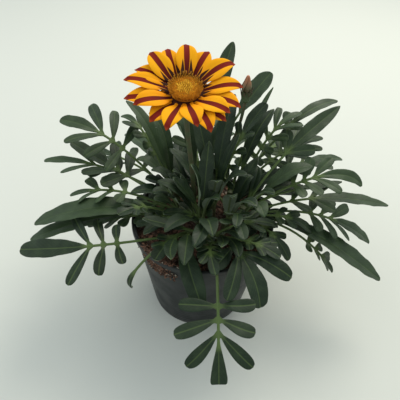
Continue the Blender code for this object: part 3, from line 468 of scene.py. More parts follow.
def blade_width(leaf, t):
    """Share of the full width along a leaf's blade or end lobe, from its start at 0 to its tip at 1."""
    widest, point = leaf.form or (END_LOBE if leaf.pairs else WHOLE_BLADE)
    start = point * widest / (1 - widest)
    return (t / widest) ** start * ((1 - t) / (1 - widest)) ** point if 0 < t < 1 else 0.0


def blade_start(leaf, length):
    """Distance from a leaf's root at which its blade or end lobe starts."""
    return max(length - leaf.blade, PETIOLE_SHORTEST)


def side_lobes(leaf, length, rng):
    """The leaf's side lobes, from the pair nearest to its root to the one next to its end lobe."""
    for order in reversed(range(leaf.pairs)):
        place = blade_start(leaf, length) - LOBE_ROOT_HALF - leaf.gap * order
        size = leaf.fade**order
        for side in (1, -1):
            long = leaf.lobe * size * rng.uniform(*LOBE_SIZES)
            angle = math.radians(leaf.spread + leaf.fan * order + rng.uniform(-LOBE_TURN, LOBE_TURN))
            yield Lobe(side, place, angle, long, leaf.lobe_half * (0.8 + 0.2 * size))


def strip(rows, length, across):
    """Points and triangles of a blade, drawn by rows of (along, half width) and a tip."""
    points = [(u, half * side) for u, half in rows for side in across]
    n = len(across)
    faces = []
    for row in range(0, len(points) - n, n):
        for a in range(row, row + n - 1):
            faces += [(a, a + 1, a + n + 1), (a, a + n + 1, a + n)]
    tip = len(points)
    points.append((length, 0.0))
    faces += [(a, a + 1, tip) for a in range(tip - n, tip - 1)]
    return points, faces


def flat_leaf(leaf, length, rng):
    """The leaf as cut from paper: points (along, across) and triangles, all turned the same way."""
    start = blade_start(leaf, length)
    lobes = list(side_lobes(leaf, length, rng))
    petiole = (lobes[0].place if lobes else start) - LOBE_ROOT_HALF
    rows = [(0.0, ROOT_HALF), (petiole * 0.5, PETIOLE_HALF)]
    for lobe in lobes[::2]:
        rows += [(lobe.place - LOBE_ROOT_HALF, PETIOLE_HALF), (lobe.place + LOBE_ROOT_HALF, PETIOLE_HALF)]
    for t in END_LOBE_STATIONS if lobes else WHOLE_STATIONS:
        rows.append((start + (length - start) * t, max(leaf.half * blade_width(leaf, t), PETIOLE_HALF)))
    points, faces = strip(rows, length, (1, -1) if lobes else (1, 0, -1))

    for number, lobe in enumerate(lobes):
        near = 4 + 4 * (number // 2) + number % 2  # the point of the strip where the lobe starts
        far = near + 2
        ahead = np.array([math.cos(lobe.angle), math.sin(lobe.angle) * lobe.side])
        aside = np.array([math.sin(lobe.angle), -math.cos(lobe.angle) * lobe.side])
        base = np.array([lobe.place, PETIOLE_HALF * lobe.side])
        for t, width in LOBE_STATIONS:
            middle = base + ahead * lobe.length * t
            half = aside * lobe.half * width
            points += [tuple(middle - half), tuple(middle + half)]
            near_next, far_next = len(points) - 2, len(points) - 1
            a, b, c, d = (near, far, far_next, near_next)[:: lobe.side]
            faces += [(a, b, c), (a, c, d)]
            near, far = near_next, far_next
        points.append(tuple(base + ahead * lobe.length))
        faces.append((near, far, len(points) - 1)[:: lobe.side])
    return np.array(points), faces


def nudge(leaf, root, swing, lift):
    """The same leaf swung about its shoot and raised, to pass clear of the others."""
    x, y, z = np.array(leaf.tip, float) - (root[0], root[1], 0)
    a = math.radians(swing)
    turned = (x * math.cos(a) - y * math.sin(a), x * math.sin(a) + y * math.cos(a))
    return leaf._replace(tip=(root[0] + turned[0], root[1] + turned[1], z + lift))


def circle(radius, count):
    """Points (x, y) round the origin."""
    turns = np.linspace(0, 2 * math.pi, count, endpoint=False)
    return [(radius * math.cos(turn), radius * math.sin(turn)) for turn in turns]


def ring_faces(rings, around, first=0):
    """Faces between rings of points, which look outwards where the rings rise."""
    for ring in range(rings - 1):
        for i in range(around):
            a, b = first + ring * around + i, first + ring * around + (i + 1) % around
            yield (a, b, b + around, a + around)


def fan(first, around, tip):
    """Faces between a ring of points and a tip above it."""
    return [(first + i, first + (i + 1) % around, tip) for i in range(around)]


def closed_rings(rings, around):
    """Faces of a solid drawn by rings of points that rise, with flat ends."""
    last = (rings - 1) * around
    ends = [tuple(reversed(range(around))), tuple(range(last, last + around))]
    return [*ring_faces(rings, around), *ends]


def tube(path, radii, sides=10):
    """Points and faces of a plain skin round a path."""
    path = np.array(path, float)
    ahead = unit(np.gradient(path, axis=0))
    across = unit(np.cross(ahead, (0.31, 0.87, 0.12)))
    over = np.cross(ahead, across)
    points = []
    for middle, a, o, radius in zip(path, across, over, radii):
        points += [middle + radius * (a * x + o * y) for x, y in circle(1.0, sides)]
    return points, list(ring_faces(len(path), sides))


def stalk_path(foot, top, lean):
    """Points from a foot in the soil to a top that it reaches along the direction lean."""
    above = np.array([*foot, SOIL_TOP])
    end = np.array(top, float)
    span = np.linalg.norm(end - above)
    a = above + np.array([0, 0, 0.4 * span])
    b = end - np.array(lean) * 0.3 * span
    return np.vstack([[*foot, HOLE_DEPTH_Z], bezier(above, a, b, end, STALK_STEPS)])


def bloom_axis():
    tilt = math.radians(BLOOM_TILT)
    return np.array([0.0, -math.sin(tilt), math.cos(tilt)])


def flower_stalk_path():
    axis = bloom_axis()
    return stalk_path(STALK_FOOT, np.array(BLOOM_CENTRE) - axis * (CUP_DEPTH - STALK_IN_CUP), axis)


def bud_stalk_path():
    return stalk_path(BUD_FOOT, np.array(BUD_CENTRE) + (0, 0, STALK_IN_CUP), (0, 0, 1))


def stem_top(leaf_count):
    return LEAF_ROOT_LOW + LEAF_ROOT_STEP * leaf_count


def obstacles():
    """Skins of what every leaf stays clear of: soil, pot, stalk and bloom, stalk and bud."""
    bloom, axis = np.array(BLOOM_CENTRE), bloom_axis()
    bud = np.array(BUD_CENTRE)
    stalk_points = STALK_STEPS + 1
    reach = max(ray.length for ray in RAYS) + 1
    bloom_path = [bloom - axis * (CUP_DEPTH + 1), bloom - axis * 3, bloom + axis * 8]
    low, high = SOIL_TOP - 10, POT_HEIGHT + CLEARANCE
    inner, outer = pot_outer(low) - WALL - CLEARANCE, LIP_RADIUS + CLEARANCE
    above_soil = np.array([0, 0, SOIL_TOP + SOIL_CLEAR])
    soil = [heading(360 * k / POT_SIDES, 0) * inner + above_soil for k in range(POT_SIDES)]
    return [
        (soil, [tuple(range(POT_SIDES))]),
        tube([(0, 0, low), (0, 0, high - CLEARANCE), (0, 0, high)], (inner, inner, outer), POT_SIDES),
        tube([(0, 0, low), (0, 0, high)], (outer, outer), POT_SIDES),
        tube(flower_stalk_path(), (STALK_RADIUS + 1,) * stalk_points),
        tube(bloom_path, (5, reach, reach), 20),
        tube(bud_stalk_path(), (BUD_STALK_RADIUS + 1,) * stalk_points),
        tube([bud, bud + (0, 0, BUD_CUP_HEIGHT + BUD_LENGTH + 3)], (BUD_CUP_RADIUS + 2,) * 2),
    ]


def leaf_root(crown, leaf, order):
    """Where the leaf starts: inside its stem, a little off the middle, later leaves higher."""
    azimuth = math.atan2(leaf.tip[1] - crown[1], leaf.tip[0] - crown[0])
    x = crown[0] + LEAF_ROOT_OFF * math.cos(azimuth)
    y = crown[1] + LEAF_ROOT_OFF * math.sin(azimuth)
    return (x, y, LEAF_ROOT_LOW + LEAF_ROOT_STEP * order)


def skin_tree(points, faces):
    return BVHTree.FromPolygons([tuple(p) for p in points], faces)


def is_clear(rib, flat, faces, trees):
    """True where the leaf, and sheets up to a clearance above and below it, cross none of the trees."""
    for share in (-1.0, -0.35, 0.0, 0.35, 1.0):
        sheet = skin_tree(rib.lay(flat, share * LEAF_CLEARANCE), faces)
        if any(sheet.overlap(tree) for tree in trees):
            return False
    return True


class Thicket:
    """All that stands already, which every further leaf keeps clear of."""

    def __init__(self):
        self.fixed = [skin_tree(*skin) for skin in obstacles()]
        self.stems = {}
        for name, (crown, leaves) in SHOOTS.items():
            path = [(*crown, SOIL_TOP - 15), (*crown, stem_top(len(leaves)))]
            self.stems[name] = skin_tree(*tube(path, (STEM_RADIUS + 1,) * 2))
        self.trees = []  # of each leaf so far: its shoot's name, its tree, and that without the shoot's heart
        self.placed = {name: [] for name in SHOOTS}  # the leaves of each shoot, as (leaf, root, number)

    def grow(self, name, leaf, root, number):
        """Adds the leaf if it has room, and says whether it has."""
        rib = Rib(leaf, root)
        flat, faces = flat_leaf(leaf, rib.length, random.Random(number))
        outer_faces = [face for face in faces if min(flat[i][0] for i in face) > HEART]
        others = self.fixed + [stem for shoot, stem in self.stems.items() if shoot != name]
        others += [whole for shoot, whole, _ in self.trees if shoot != name]
        same = [outer for shoot, _, outer in self.trees if shoot == name]
        if not is_clear(rib, flat, faces, others) or not is_clear(rib, flat, outer_faces, same):
            return False
        sheet = rib.lay(flat)
        self.trees.append((name, skin_tree(sheet, faces), skin_tree(sheet, outer_faces)))
        self.placed[name].append((leaf, root, number))
        return True


def add_leaves(thicket):
    """Every leaf of SHOOTS at its first nudge that is clear."""
    number = 0
    for name, (crown, leaves) in SHOOTS.items():
        for order, leaf in enumerate(leaves):
            number += 1
            for swing, lift in NUDGES:
                moved = nudge(leaf, crown, swing, lift)
                if thicket.grow(name, moved, leaf_root(crown, moved, order), number):
                    break
            else:
                raise ValueError(f"leaf {order} of shoot {name} has no clear place")


def pot_outer(z):
    """Radius of the pot's outer wall at a height under the lip."""
    neck = POT_HEIGHT - LIP_HEIGHT
    return BASE_RADIUS + (LIP_RADIUS - LIP_PROUD - BASE_RADIUS) * z / neck


def ray_ribs():
    """The midrib of every petal in the bloom's frame. Those of the upper layers arch more."""
    rng = random.Random(11)
    for ray in RAYS:
        root = heading(ray.root, 0) * RAY_ROOT + (0, 0, RAY_ROOT_LOW + RAY_ROOT_STEP * ray.layer)
        tip = heading(ray.tip, 0) * ray.length + (0, 0, RAY_TIP_LOW + RAY_TIP_STEP * ray.layer)
        rise, dip = RAY_RISE + RAY_RISE_STEP * ray.layer, RAY_DIP + RAY_DIP_STEP * ray.layer
        twist = rng.uniform(-RAY_TWIST, RAY_TWIST)
        leaf = Leaf(tuple(tip), rise, dip, 0, 0, twist=twist, sway=ray.root - ray.tip)
        yield Rib(leaf, root, FINE_RIB_STEPS)


def ray_width(t):
    """Share of a ray's full width along it: a narrow claw, widest past the middle, then a point."""
    return (t / 0.54) ** 1.29 * ((1 - t) / 0.46) ** 1.1 if 0 < t < 1 else 0.0


def bud_width(t):
    """Share of the closed petals' full radius, from their root at 0 to their blunt tips at 1."""
    return (0.78 + 0.22 * math.sin(math.pi * min(t * 1.5, 1))) * (1 - 0.66 * t**4)


def smooth_step(low, high, x):
    t = np.clip((x - low) / (high - low), 0, 1)
    return t * t * (3 - 2 * t)


class Shape:
    """Points, faces and named point values of one piece, gathered part by part."""

    def __init__(self, *names):
        self.points, self.faces, self.slots = [], [], []
        self.values = {name: [] for name in names}

    def add(self, points, faces, slots=0, **values):
        """Adds a part whose faces count its own points from 0, and whose other values are 0."""
        first = len(self.points)
        self.points += [tuple(p) for p in np.asarray(points, float) * MM]
        self.faces += [tuple(first + i for i in face) for face in faces]
        self.slots += list(np.broadcast_to(slots, len(faces)))
        for name, gathered in self.values.items():
            gathered += list(np.broadcast_to(values.get(name, 0.0), len(points)))

    def piece(self, name, materials, node, matrix=None, sharp=50):
        """The finished object, which stands for the coarse node."""
        mesh = bpy.data.meshes.new(name)
        mesh.from_pydata(self.points, [], self.faces)
        for value, gathered in self.values.items():
            mesh.attributes.new(value, "FLOAT", "POINT").data.foreach_set("value", gathered)
        for material in materials:
            mesh.materials.append(material)
        mesh.polygons.foreach_set("material_index", self.slots)
        mesh.shade_smooth()
        mesh.set_sharp_from_angle(angle=math.radians(sharp))
        obj = bpy.data.objects.new(name, mesh)
        bpy.context.scene.collection.objects.link(obj)
        if matrix is not None:
            obj.matrix_world = matrix
        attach(obj, "root")
        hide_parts(node)
        return obj


class Paint:
    """A material in the making: each call adds a node and returns the socket to read it by."""

    def __init__(self, name, colour, roughness, specular=0.5):
        self.material = bpy.data.materials.new(name)
        self.material.use_nodes = True
        self.tree = self.material.node_tree
        self.shader = self.tree.nodes["Principled BSDF"]
        self.constant("Base Color", (*colour, 1.0))
        self.constant("Roughness", roughness)
        self.constant("Specular IOR Level", specular)

    def constant(self, name, value):
        self.shader.inputs[name].default_value = value

    def feed(self, name, socket):
        self.tree.links.new(socket, self.shader.inputs[name])

    def node(self, kind, inputs, **settings):
        node = self.tree.nodes.new(kind)
        for key, value in settings.items():
            setattr(node, key, value)
        for place, value in inputs.items():
            if isinstance(value, bpy.types.NodeSocket):
                self.tree.links.new(value, node.inputs[place])
            else:
                node.inputs[place].default_value = value
        return node

    def value(self, name):
        return self.node("ShaderNodeAttribute", {}, attribute_name=name).outputs["Fac"]

    def math(self, operation, a, b=0.0):
        return self.node("ShaderNodeMath", {0: a, 1: b}, operation=operation).outputs[0]

    def step(self, x, low, high, start=0.0, end=1.0):
        """Goes smoothly from start to end as x goes from low to high."""
        inputs = {0: x, 1: low, 2: high, 3: start, 4: end}
        return self.node("ShaderNodeMapRange", inputs, interpolation_type="SMOOTHSTEP").outputs[0]

    def noise(self, size, detail=3.0):
        """Noise with lumps of about that size in mm."""
        place = self.node("ShaderNodeTexCoord", {}).outputs["Object"]
        inputs = {"Vector": place, "Scale": 1 / (size * MM), "Detail": detail}
        return self.node("ShaderNodeTexNoise", inputs).outputs["Fac"]

    def blend(self, share, a, b):
        """From colour a to colour b."""
        a, b = ((*c, 1.0) if isinstance(c, tuple) else c for c in (a, b))
        return self.node("ShaderNodeMix", {0: share, 6: a, 7: b}, data_type="RGBA").outputs[2]

    def bump(self, height, depth):
        """Relief of that depth in mm."""
        inputs = {"Height": height, "Distance": depth * MM, "Strength": 1.0}
        self.feed("Normal", self.node("ShaderNodeBump", inputs).outputs["Normal"])


def sleeve(shape, middle, above, below, slots=(TOP, UNDERSIDE), **values):
    """A closed thin blade about a grid of points, whose columns run from the left margin to the right.

    above and below are the distances to both faces, and count as 0 at the margins. The first row is
    capped, and the last row is drawn together to one point.
    """
    rows, columns = middle.shape[:2]
    normal = unit(np.cross(np.gradient(middle, axis=0), -np.gradient(middle, axis=1)))
    inner = slice(1, columns - 1)
    top = middle.copy()
    top[:, inner] += (normal * above[..., None])[:, inner]
    low = (middle - normal * below[..., None])[:, inner][:, ::-1]
    ring = columns + low.shape[1]
    points = np.concatenate([top, low], axis=1)[:-1].reshape(-1, 3)
    tip = len(points)
    points = np.vstack([points, middle[-1, columns // 2]])
    faces, sides = [tuple(reversed(range(ring)))], [slots[1]]
    for i in range(rows - 1):
        for j in range(ring):
            a, b = i * ring + j, i * ring + (j + 1) % ring
            faces.append((a, b, tip) if i == rows - 2 else (a, b, b + ring, a + ring))
            sides.append(slots[0] if j < columns - 1 else slots[1])
    spread = {}
    for name, grid in values.items():
        grid = np.broadcast_to(grid, (rows, columns))
        wrapped = np.concatenate([grid, grid[:, inner][:, ::-1]], axis=1)[:-1].reshape(-1)
        spread[name] = np.append(wrapped, grid[-1, columns // 2])
    shape.add(points, faces, sides, **spread)


def turn_profile(profile, sides):
    """Points, faces and the index along the profile, of a solid turned about Z from (radius, height).

    The profile starts and ends on the axis and runs up its outer side.
    """
    inner = profile[1:-1]
    points, order = [(0, 0, profile[0][1])], [0]
    for k, (radius, height) in enumerate(inner):
        points += [(x, y, height) for x, y in circle(radius, sides)]
        order += [k + 1] * sides
    points.append((0, 0, profile[-1][1]))
    order.append(len(profile) - 1)
    last = len(points) - 1
    faces = [(0, b, a) for a, b, _ in fan(1, sides, 0)]
    faces += ring_faces(len(inner), sides, 1)
    faces += fan(last - sides, sides, last)
    return np.array(points), faces, np.array(order)


def closed_tube(path, radii, sides):
    """Points and faces of a round stalk with closed ends."""
    return tube(path, radii, sides)[0], closed_rings(len(path), sides)


def rows_to_tip(count, crowding):
    """Places of a blade's rows from 0 to 1, which crowd towards its tip."""
    return 1 - (1 - np.linspace(0, 1, count + 1)) ** crowding


def lay_grid(rib, along, across, lift=0.0):
    """Points of a blade's grid on its midrib, from places along and across it and lifts off it."""
    along, across, lift = np.broadcast_arrays(along, across, lift)
    flat = np.stack([along, across], axis=-1).reshape(-1, 2)
    return rib.lay(flat, lift.reshape(-1, 1)).reshape(*along.shape, 3)


def column_places(left, right, shares):
    """Distances from the midrib to a row's points, from its left margin to its right one."""
    near = [np.minimum(place, (0.3 + 0.25 * k) * np.minimum(left, right)) for k, place in enumerate(NEAR_RIB)]
    sides = []
    for margin in (left, right):
        far = [near[-1] + (margin - near[-1]) * share for share in shares]
        sides.append(near + far)
    zero = np.zeros_like(left)
    return np.stack(sides[0][::-1] + [zero] + [-place for place in sides[1]], axis=1)


def waves(places, kinds, rng):
    """A sum of waves along a margin."""
    return sum(size * np.sin(2 * math.pi * places / long + rng.uniform(0, ANY_TURN)) for long, size in kinds)


def wavy_margin(half, along, t, rng):
    """Distances of a margin from the midrib, with waves that grow towards the tip."""
    return half * (1 + waves(along, MARGIN_WAVES, rng) * t)


def blade_faces(half, across):
    """Distances from the middle of a blade to its upper and its lower face."""
    share = np.abs(across) / half[:, None]
    wide = smooth_step(1.6, 4.5, half)[:, None]
    deep = PETIOLE_DEEP + (BLADE_DEEP - PETIOLE_DEEP) * wide
    deep = deep * np.sqrt(np.clip(1 - share ** (2 + 6 * wide), 0, 1))
    near = np.exp(-((across / MIDRIB_REACH) ** 2)) * np.minimum(half / 2, 1)[:, None]
    return deep - GROOVE_DEEP * near * wide, deep + MIDRIB_DEEP * near * wide


def add_main_blade(shape, leaf, rib, rng, **tones):
    """The petiole and the blade of a whole leaf, or the rachis and the end lobe of a lobed one."""
    start = blade_start(leaf, rib.length)
    petiole_rows = np.linspace(0, start, PETIOLE_ROWS, endpoint=False)
    along = np.concatenate([petiole_rows, start + (rib.length - start) * rows_to_tip(BLADE_ROWS, 1.5)])
    t = np.clip((along - start) / (rib.length - start), 0, 1)
    petiole = PETIOLE_FINE + (ROOT_HALF - PETIOLE_FINE) * np.exp(-along / 5)
    blade = leaf.half * np.array([blade_width(leaf, x) for x in t])
    half = ((petiole * (1 - t)) ** 3 + blade**3) ** (1 / 3)
    half[-1] = TIP_HALF
    left = wavy_margin(half, along, t, rng)
    right = wavy_margin(half, along, t, rng)
    across = column_places(left, right, BLADE_SHARES)
    share = across / half[:, None]
    swing = np.where(across > 0, waves(along, RIPPLES, rng)[:, None], waves(along, RIPPLES, rng)[:, None])
    lift = swing * share**2 * smooth_step(2, 7, half)[:, None]
    middle = lay_grid(rib, along[:, None], across, lift)
    above, below = blade_faces(half, across)
    pale = ((1 - smooth_step(1.5, 3.2, half)) * (1 - smooth_step(0.2, 0.5, t)))[:, None]
    sleeve(shape, middle, above, below, across=across, along=along[:, None], pale=pale, **tones)


def lobe_half_width(t, half, long):
    """Half width along a side lobe: a web where it joins the rachis, then oblong with a round tip."""
    flare = LOBE_ROOT_HALF * np.exp(-t * long / 2.2)
    body = half * (t / 0.7) ** 0.9 * ((1 - t) / 0.3) ** 0.39
    return (flare**3 + body**3 + 0.5**3 * (1 - t)) ** (1 / 3)


def add_side_lobe(shape, rib, lobe, rng, **tones):
    """One side lobe, with a midrib of its own that runs out of the rachis."""
    side, place, angle, long, half = lobe
    ahead = np.array([math.cos(angle), math.sin(angle) * side])
    aside = np.array([-math.sin(angle) * side, math.cos(angle)])
    base = np.array([place, PETIOLE_FINE * 0.4 * side])
    t = rows_to_tip(LOBE_ROWS, 1.4)
    out = t * long
    width = lobe_half_width(t, half, long)
    width[-1] = TIP_HALF
    left = wavy_margin(width, out, t, rng)
    right = wavy_margin(width, out, t, rng)
    across = column_places(left, right, LOBE_SHARES)
    bow = rng.uniform(-0.4, 1.5) * -side
    centre = base + ahead * out[:, None] + aside * (bow * np.sin(math.pi * t) * t)[:, None]
    turn = smooth_step(0, 5, out)[:, None]
    row_way = unit(np.array([-1.0 * side, 0.0]) * (1 - turn) + aside * turn)
    flat = centre[:, None] + row_way[:, None] * across[..., None]
    share = across / width[:, None]
    free = smooth_step(0, 9, out)[:, None]
    bank = math.tan(math.radians(rng.gauss(0, LOBE_BANK)))
    droop = rng.uniform(*LOBE_DROOP) * long * t[:, None] ** 2
    lift = (0.1 * np.abs(across) + bank * across - droop) * free
    lift = lift + waves(out, RIPPLES, rng)[:, None] * 0.6 * share * t[:, None]
    middle = lay_grid(rib, flat[..., 0], flat[..., 1], lift)
    above, below = blade_faces(np.maximum(width, 3.2), across)
    above, below = (face * smooth_step(-1, 3, (1 - t) * long)[:, None] for face in (above, below))
    pale = 1 - smooth_step(1, 7, out)[:, None]
    sleeve(shape, middle, above, below, across=across, along=(place + out)[:, None], pale=pale, **tones)


def add_stem(shape, crown, top, rng):
    """The short stem that a shoot's leaves spring from, with the scars of older leaves."""
    points, order = [], []
    for height in np.linspace(STEM_FOOT, top, STEM_RINGS):
        share = (height - STEM_FOOT) / (top - STEM_FOOT)
        for turn in np.linspace(0, 2 * math.pi, FINE_SIDES, endpoint=False):
            radius = STEM_RADIUS * (1 - 0.3 * share) * (0.97 + 0.06 * math.sin(5 * turn + 9 * share))
            radius += rng.uniform(-0.15, 0.15)
            points.append((crown[0] + radius * math.cos(turn), crown[1] + radius * math.sin(turn), height))
            order.append(share)
    points.append((*crown, top + 1.2))
    order.append(1.0)
    last = len(points) - 1
    faces = [tuple(reversed(range(FINE_SIDES))), *ring_faces(STEM_RINGS, FINE_SIDES)]
    faces += fan(last - FINE_SIDES, FINE_SIDES, last)
    shape.add(points, faces, STEM_SLOT, along=order)


def leaf_materials():
    """The upper face, the felted underside and the stem."""
    dark_green, light_green = (0.008, 0.020, 0.007), (0.036, 0.062, 0.025)
    vein_green, rib_green = (0.07, 0.11, 0.04), (0.095, 0.145, 0.040)
    top = Paint("leaf_top", (0.018, 0.035, 0.015), 0.45, 0.28)
    across = top.math("ABSOLUTE", top.value("across"))
    # the tone attribute holds a random tone, plus painted shade on the leaves of the heart and painted light
    # on those of the outer shoots
    tone = top.math("ADD", top.value("tone"), top.step(top.noise(9), 0.3, 0.7, -0.2, 0.2))
    green = top.blend(tone, dark_green, light_green)
    slant = top.math("SUBTRACT", top.value("along"), top.math("MULTIPLY", across, 1.3))
    vein = top.step(top.math("PINGPONG", slant, 1.9), 0.0, 0.35, 1.0, 0.0)
    green = top.blend(top.math("MULTIPLY", vein, 0.12), green, vein_green)
    midrib = top.math("MULTIPLY", top.step(across, 0.25, 0.7), top.value("clear"))
    midrib = top.math("SUBTRACT", top.value("clear"), midrib)
    rib = top.math("MAXIMUM", midrib, top.math("MULTIPLY", top.value("pale"), 0.8))
    top.feed("Base Color", top.blend(rib, green, rib_green))
    top.bump(top.math("SUBTRACT", top.noise(1.2), top.math("MULTIPLY", vein, 0.6)), 0.12)
    top.feed("Roughness", top.step(top.noise(14), 0.3, 0.7, 0.42, 0.62))

    dark_felt, light_felt, bare_rib = (0.10, 0.135, 0.085), (0.20, 0.24, 0.16), (0.10, 0.135, 0.045)
    under = Paint("leaf_underside", (0.16, 0.20, 0.13), 0.85)
    across = under.math("ABSOLUTE", under.value("across"))
    felt = under.blend(under.noise(2), dark_felt, light_felt)
    rib = under.math("MAXIMUM", under.step(across, 0.4, 1.0, 0.9, 0.0), under.value("pale"))
    under.feed("Base Color", under.blend(rib, felt, bare_rib))
    under.bump(under.noise(0.5), 0.1)

    old_brown, young_green = (0.06, 0.035, 0.018), (0.07, 0.09, 0.03)
    stem = Paint("leaf_stem", (0.08, 0.09, 0.035), 0.6)
    young = stem.math("ADD", stem.value("along"), stem.step(stem.noise(2), 0.3, 0.7, -0.4, 0.4))
    stem.feed("Base Color", stem.blend(young, old_brown, young_green))
    stem.bump(stem.noise(1.0), 0.3)
    return [top.material, under.material, stem.material]


def small_leaves(rng):
    """The leaves of PLACED_SMALL, and others about the heart of the plant, each with its nudges."""
    for name, tip, rise, dip, long, half, pairs in PLACED_SMALL:
        yield name, Leaf(tip, rise, dip, long, half, pairs, gap=8, lobe=15, lobe_half=3.6), NUDGES
    for _ in range(SMALL_TRIES):
        name = rng.choice(list(SHOOTS))
        crown = SHOOTS[name][0]
        reach, turn = rng.uniform(*SMALL_REACH), rng.uniform(-math.pi, math.pi)
        high = rng.uniform(SMALL_HEIGHT[0], SMALL_HEIGHT[1] - 0.5 * reach)
        tip = (crown[0] + reach * math.cos(turn), crown[1] + reach * math.sin(turn), high)
        steep = math.degrees(math.atan2(high - LEAF_ROOT_LOW, reach))
        pairs = rng.choice((0, 0, 0, 2, 3))
        long = rng.uniform(16, 24) if pairs else rng.uniform(28, 52)
        half = rng.uniform(4.0, 7.0)
        rise, dip = min(steep + rng.uniform(5, 25), 84), rng.uniform(-10, 40) - 0.5 * steep
        sway = rng.uniform(-25, 25)
        leaf = Leaf(tip, rise, dip, long, half, pairs, gap=8, lobe=14, lobe_half=3.4, sway=sway)
        yield name, leaf, NUDGES[:1]


def add_small_leaves(thicket):
    """Small leaves wherever the heart of the plant has room for them."""
    rng = random.Random(21)
    for number, (name, leaf, nudges) in enumerate(list(small_leaves(rng)), FIRST_SMALL + 1):
        crown, leaves = SHOOTS[name]
        for swing, lift in nudges:
            moved = nudge(leaf, crown, swing, lift)
            root = leaf_root(crown, moved, rng.uniform(0, len(leaves)))
            long_enough = Rib(moved, root).length >= moved.blade + PETIOLE_SHORTEST
            if long_enough and thicket.grow(name, moved, root, number):
                break


def make_leaves():
    materials = leaf_materials()
    thicket = Thicket()
    add_leaves(thicket)
    add_small_leaves(thicket)
    for name, grown in thicket.placed.items():
        shape = Shape("across", "along", "pale", "tone", "clear")
        for leaf, root, number in grown:
            own = random.Random(1000 + number)
            # painted shade and painted light: leaves of the heart and the inner shoots get a dark tone, those
            # of the outer shoots a light one, each with a random share
            shaded = number > FIRST_SMALL or name.startswith(("front", "inner", "centre", "middle"))
            clear = 0.4 if name.startswith("front") else own.uniform(0.1, 0.4)
            tone = own.random() * 0.2 if shaded else 0.4 + 0.6 * own.random()
            tones = {"tone": tone, "clear": clear}
            rib = Rib(leaf, root, FINE_RIB_STEPS)
            add_main_blade(shape, leaf, rib, own, **tones)
            for lobe in side_lobes(leaf, Rib(leaf, root).length, random.Random(number)):
                add_side_lobe(shape, rib, lobe, own, **tones)
        crown, leaves = SHOOTS[name]
        add_stem(shape, crown, stem_top(len(leaves)), random.Random(name))
        shape.piece("leaves_" + name, materials, "shoot_" + name)


def bloom_matrix():
    return Matrix.Translation(Vector(BLOOM_CENTRE) * MM) @ Matrix.Rotation(math.radians(BLOOM_TILT), 4, "X")


def petal_claw(ray):
    """Half width of a petal's foot, wide enough to meet its farther neighbour."""
    turns = sorted((other.root - ray.root) % 360 for other in RAYS if other is not ray)
    return max(RAY_CLAW, math.radians(max(turns[0], 360 - turns[-1])) * CLAWS_MEET / 2)


def add_petal(shape, ray, rib, rng):
    t = rows_to_tip(PETAL_ROWS, 1.4)
    half = np.maximum(RAY_HALF * np.array([ray_width(x) for x in t]), petal_claw(ray) * (1 - t**2) ** 3)
    half[-1] = TIP_HALF
    across = column_places(half, half, PETAL_SHARES)
    share = across / half[:, None]
    along = t * rib.length
    fade = np.sin(math.pi * np.clip(t, 0, 1))[:, None] ** 0.5
    pleats = PLEAT_HIGH * np.cos(math.pi * PLEATS * np.abs(share)) * fade
    ripple = waves(along, PETAL_RIPPLE, rng)[:, None] * share * np.abs(share) * t[:, None]
    curl = -rng.uniform(0.2, 1.2) * smooth_step(0.72, 1.0, t)[:, None] ** 2
    middle = lay_grid(rib, along[:, None], across, pleats + ripple + curl)
    deep = PETAL_DEEP * np.sqrt(np.clip(1 - share**8, 0, 1))
    mark = 0.18 + 0.15 * math.sin(math.radians(ray.root))
    sleeve(shape, middle, deep, deep, across=across, part=t[:, None], tone=rng.random(), mark=mark)


def petal_materials():
    """The striped upper face and the plainer underside."""
    gold, light_gold, foot_orange = (0.82, 0.315, 0.002), (0.85, 0.375, 0.004), (0.80, 0.22, 0.002)
    dark_red, red, faded_red = (0.075, 0.006, 0.004), (0.17, 0.010, 0.005), (0.34, 0.05, 0.008)
    top = Paint("petal_top", (0.85, 0.36, 0.004), 0.75, 0.12)
    part = top.value("part")
    across = top.math("ABSOLUTE", top.value("across"))
    yellow = top.blend(top.value("tone"), gold, light_gold)
    yellow = top.blend(top.step(part, 0.15, 0.55, 0.6, 0.0), yellow, foot_orange)
    off = top.math("SUBTRACT", across, top.step(part, 0.1, 0.6, 1.3, 2.15))
    stripe = top.blend(top.step(part, 0.2, 0.7), dark_red, red)
    stripe = top.blend(top.step(part, 0.9, 1.0), stripe, faded_red)
    colour = top.blend(top.step(off, -0.18, 0.18, 1.0, 0.0), yellow, stripe)
    prong = top.step(top.math("ABSOLUTE", top.math("SUBTRACT", across, 3.0)), 0.0, 1.9, 1.0, 0.0)
    limit = top.math("MULTIPLY", top.value("mark"), top.math("ADD", prong, 0.6))
    dark = top.step(top.math("SUBTRACT", part, limit), -0.06, 0.02, 1.0, 0.0)
    top.feed("Base Color", top.blend(dark, colour, (0.040, 0.013, 0.008)))
    top.bump(top.math("PINGPONG", top.value("across"), 0.45), 0.12)

    under = Paint("petal_underside", (0.72, 0.30, 0.01), 0.75, 0.12)
    across = under.math("ABSOLUTE", under.value("across"))
    band = under.step(across, 1.6, 3.4, 1.0, 0.0)
    under.feed("Base Color", under.blend(band, (0.74, 0.32, 0.01), (0.20, 0.09, 0.02)))
    return [top.material, under.material]


def make_petals():
    shape = Shape("across", "part", "tone", "mark")
    rng = random.Random(12)
    for ray, rib in zip(RAYS, ray_ribs()):
        add_petal(shape, ray, rib, rng)
    low, high = RECEPTACLE_LOW, RECEPTACLE_HIGH
    brim = RECEPTACLE_RADIUS + BRIM
    cone = [(0, low), (RECEPTACLE_RADIUS, low), (brim, low + 0.7), (brim, low + 1.0)]
    cone += [(RECEPTACLE_TOP_RADIUS, high), (0, high)]
    points, faces, _ = turn_profile(cone, 48)
    shape.add(points, faces, mark=0.4)
    shape.piece("petals", petal_materials(), "ray_florets", bloom_matrix())


def closed_floret():
    profile = [(0, -1.0), (0.55, -1.0), (0.72, 0.3), (0.70, 0.9), (0.42, 1.5), (0, 1.7)]
    points, faces, order = turn_profile(profile, 8)
    return points, faces, order / (len(profile) - 1)


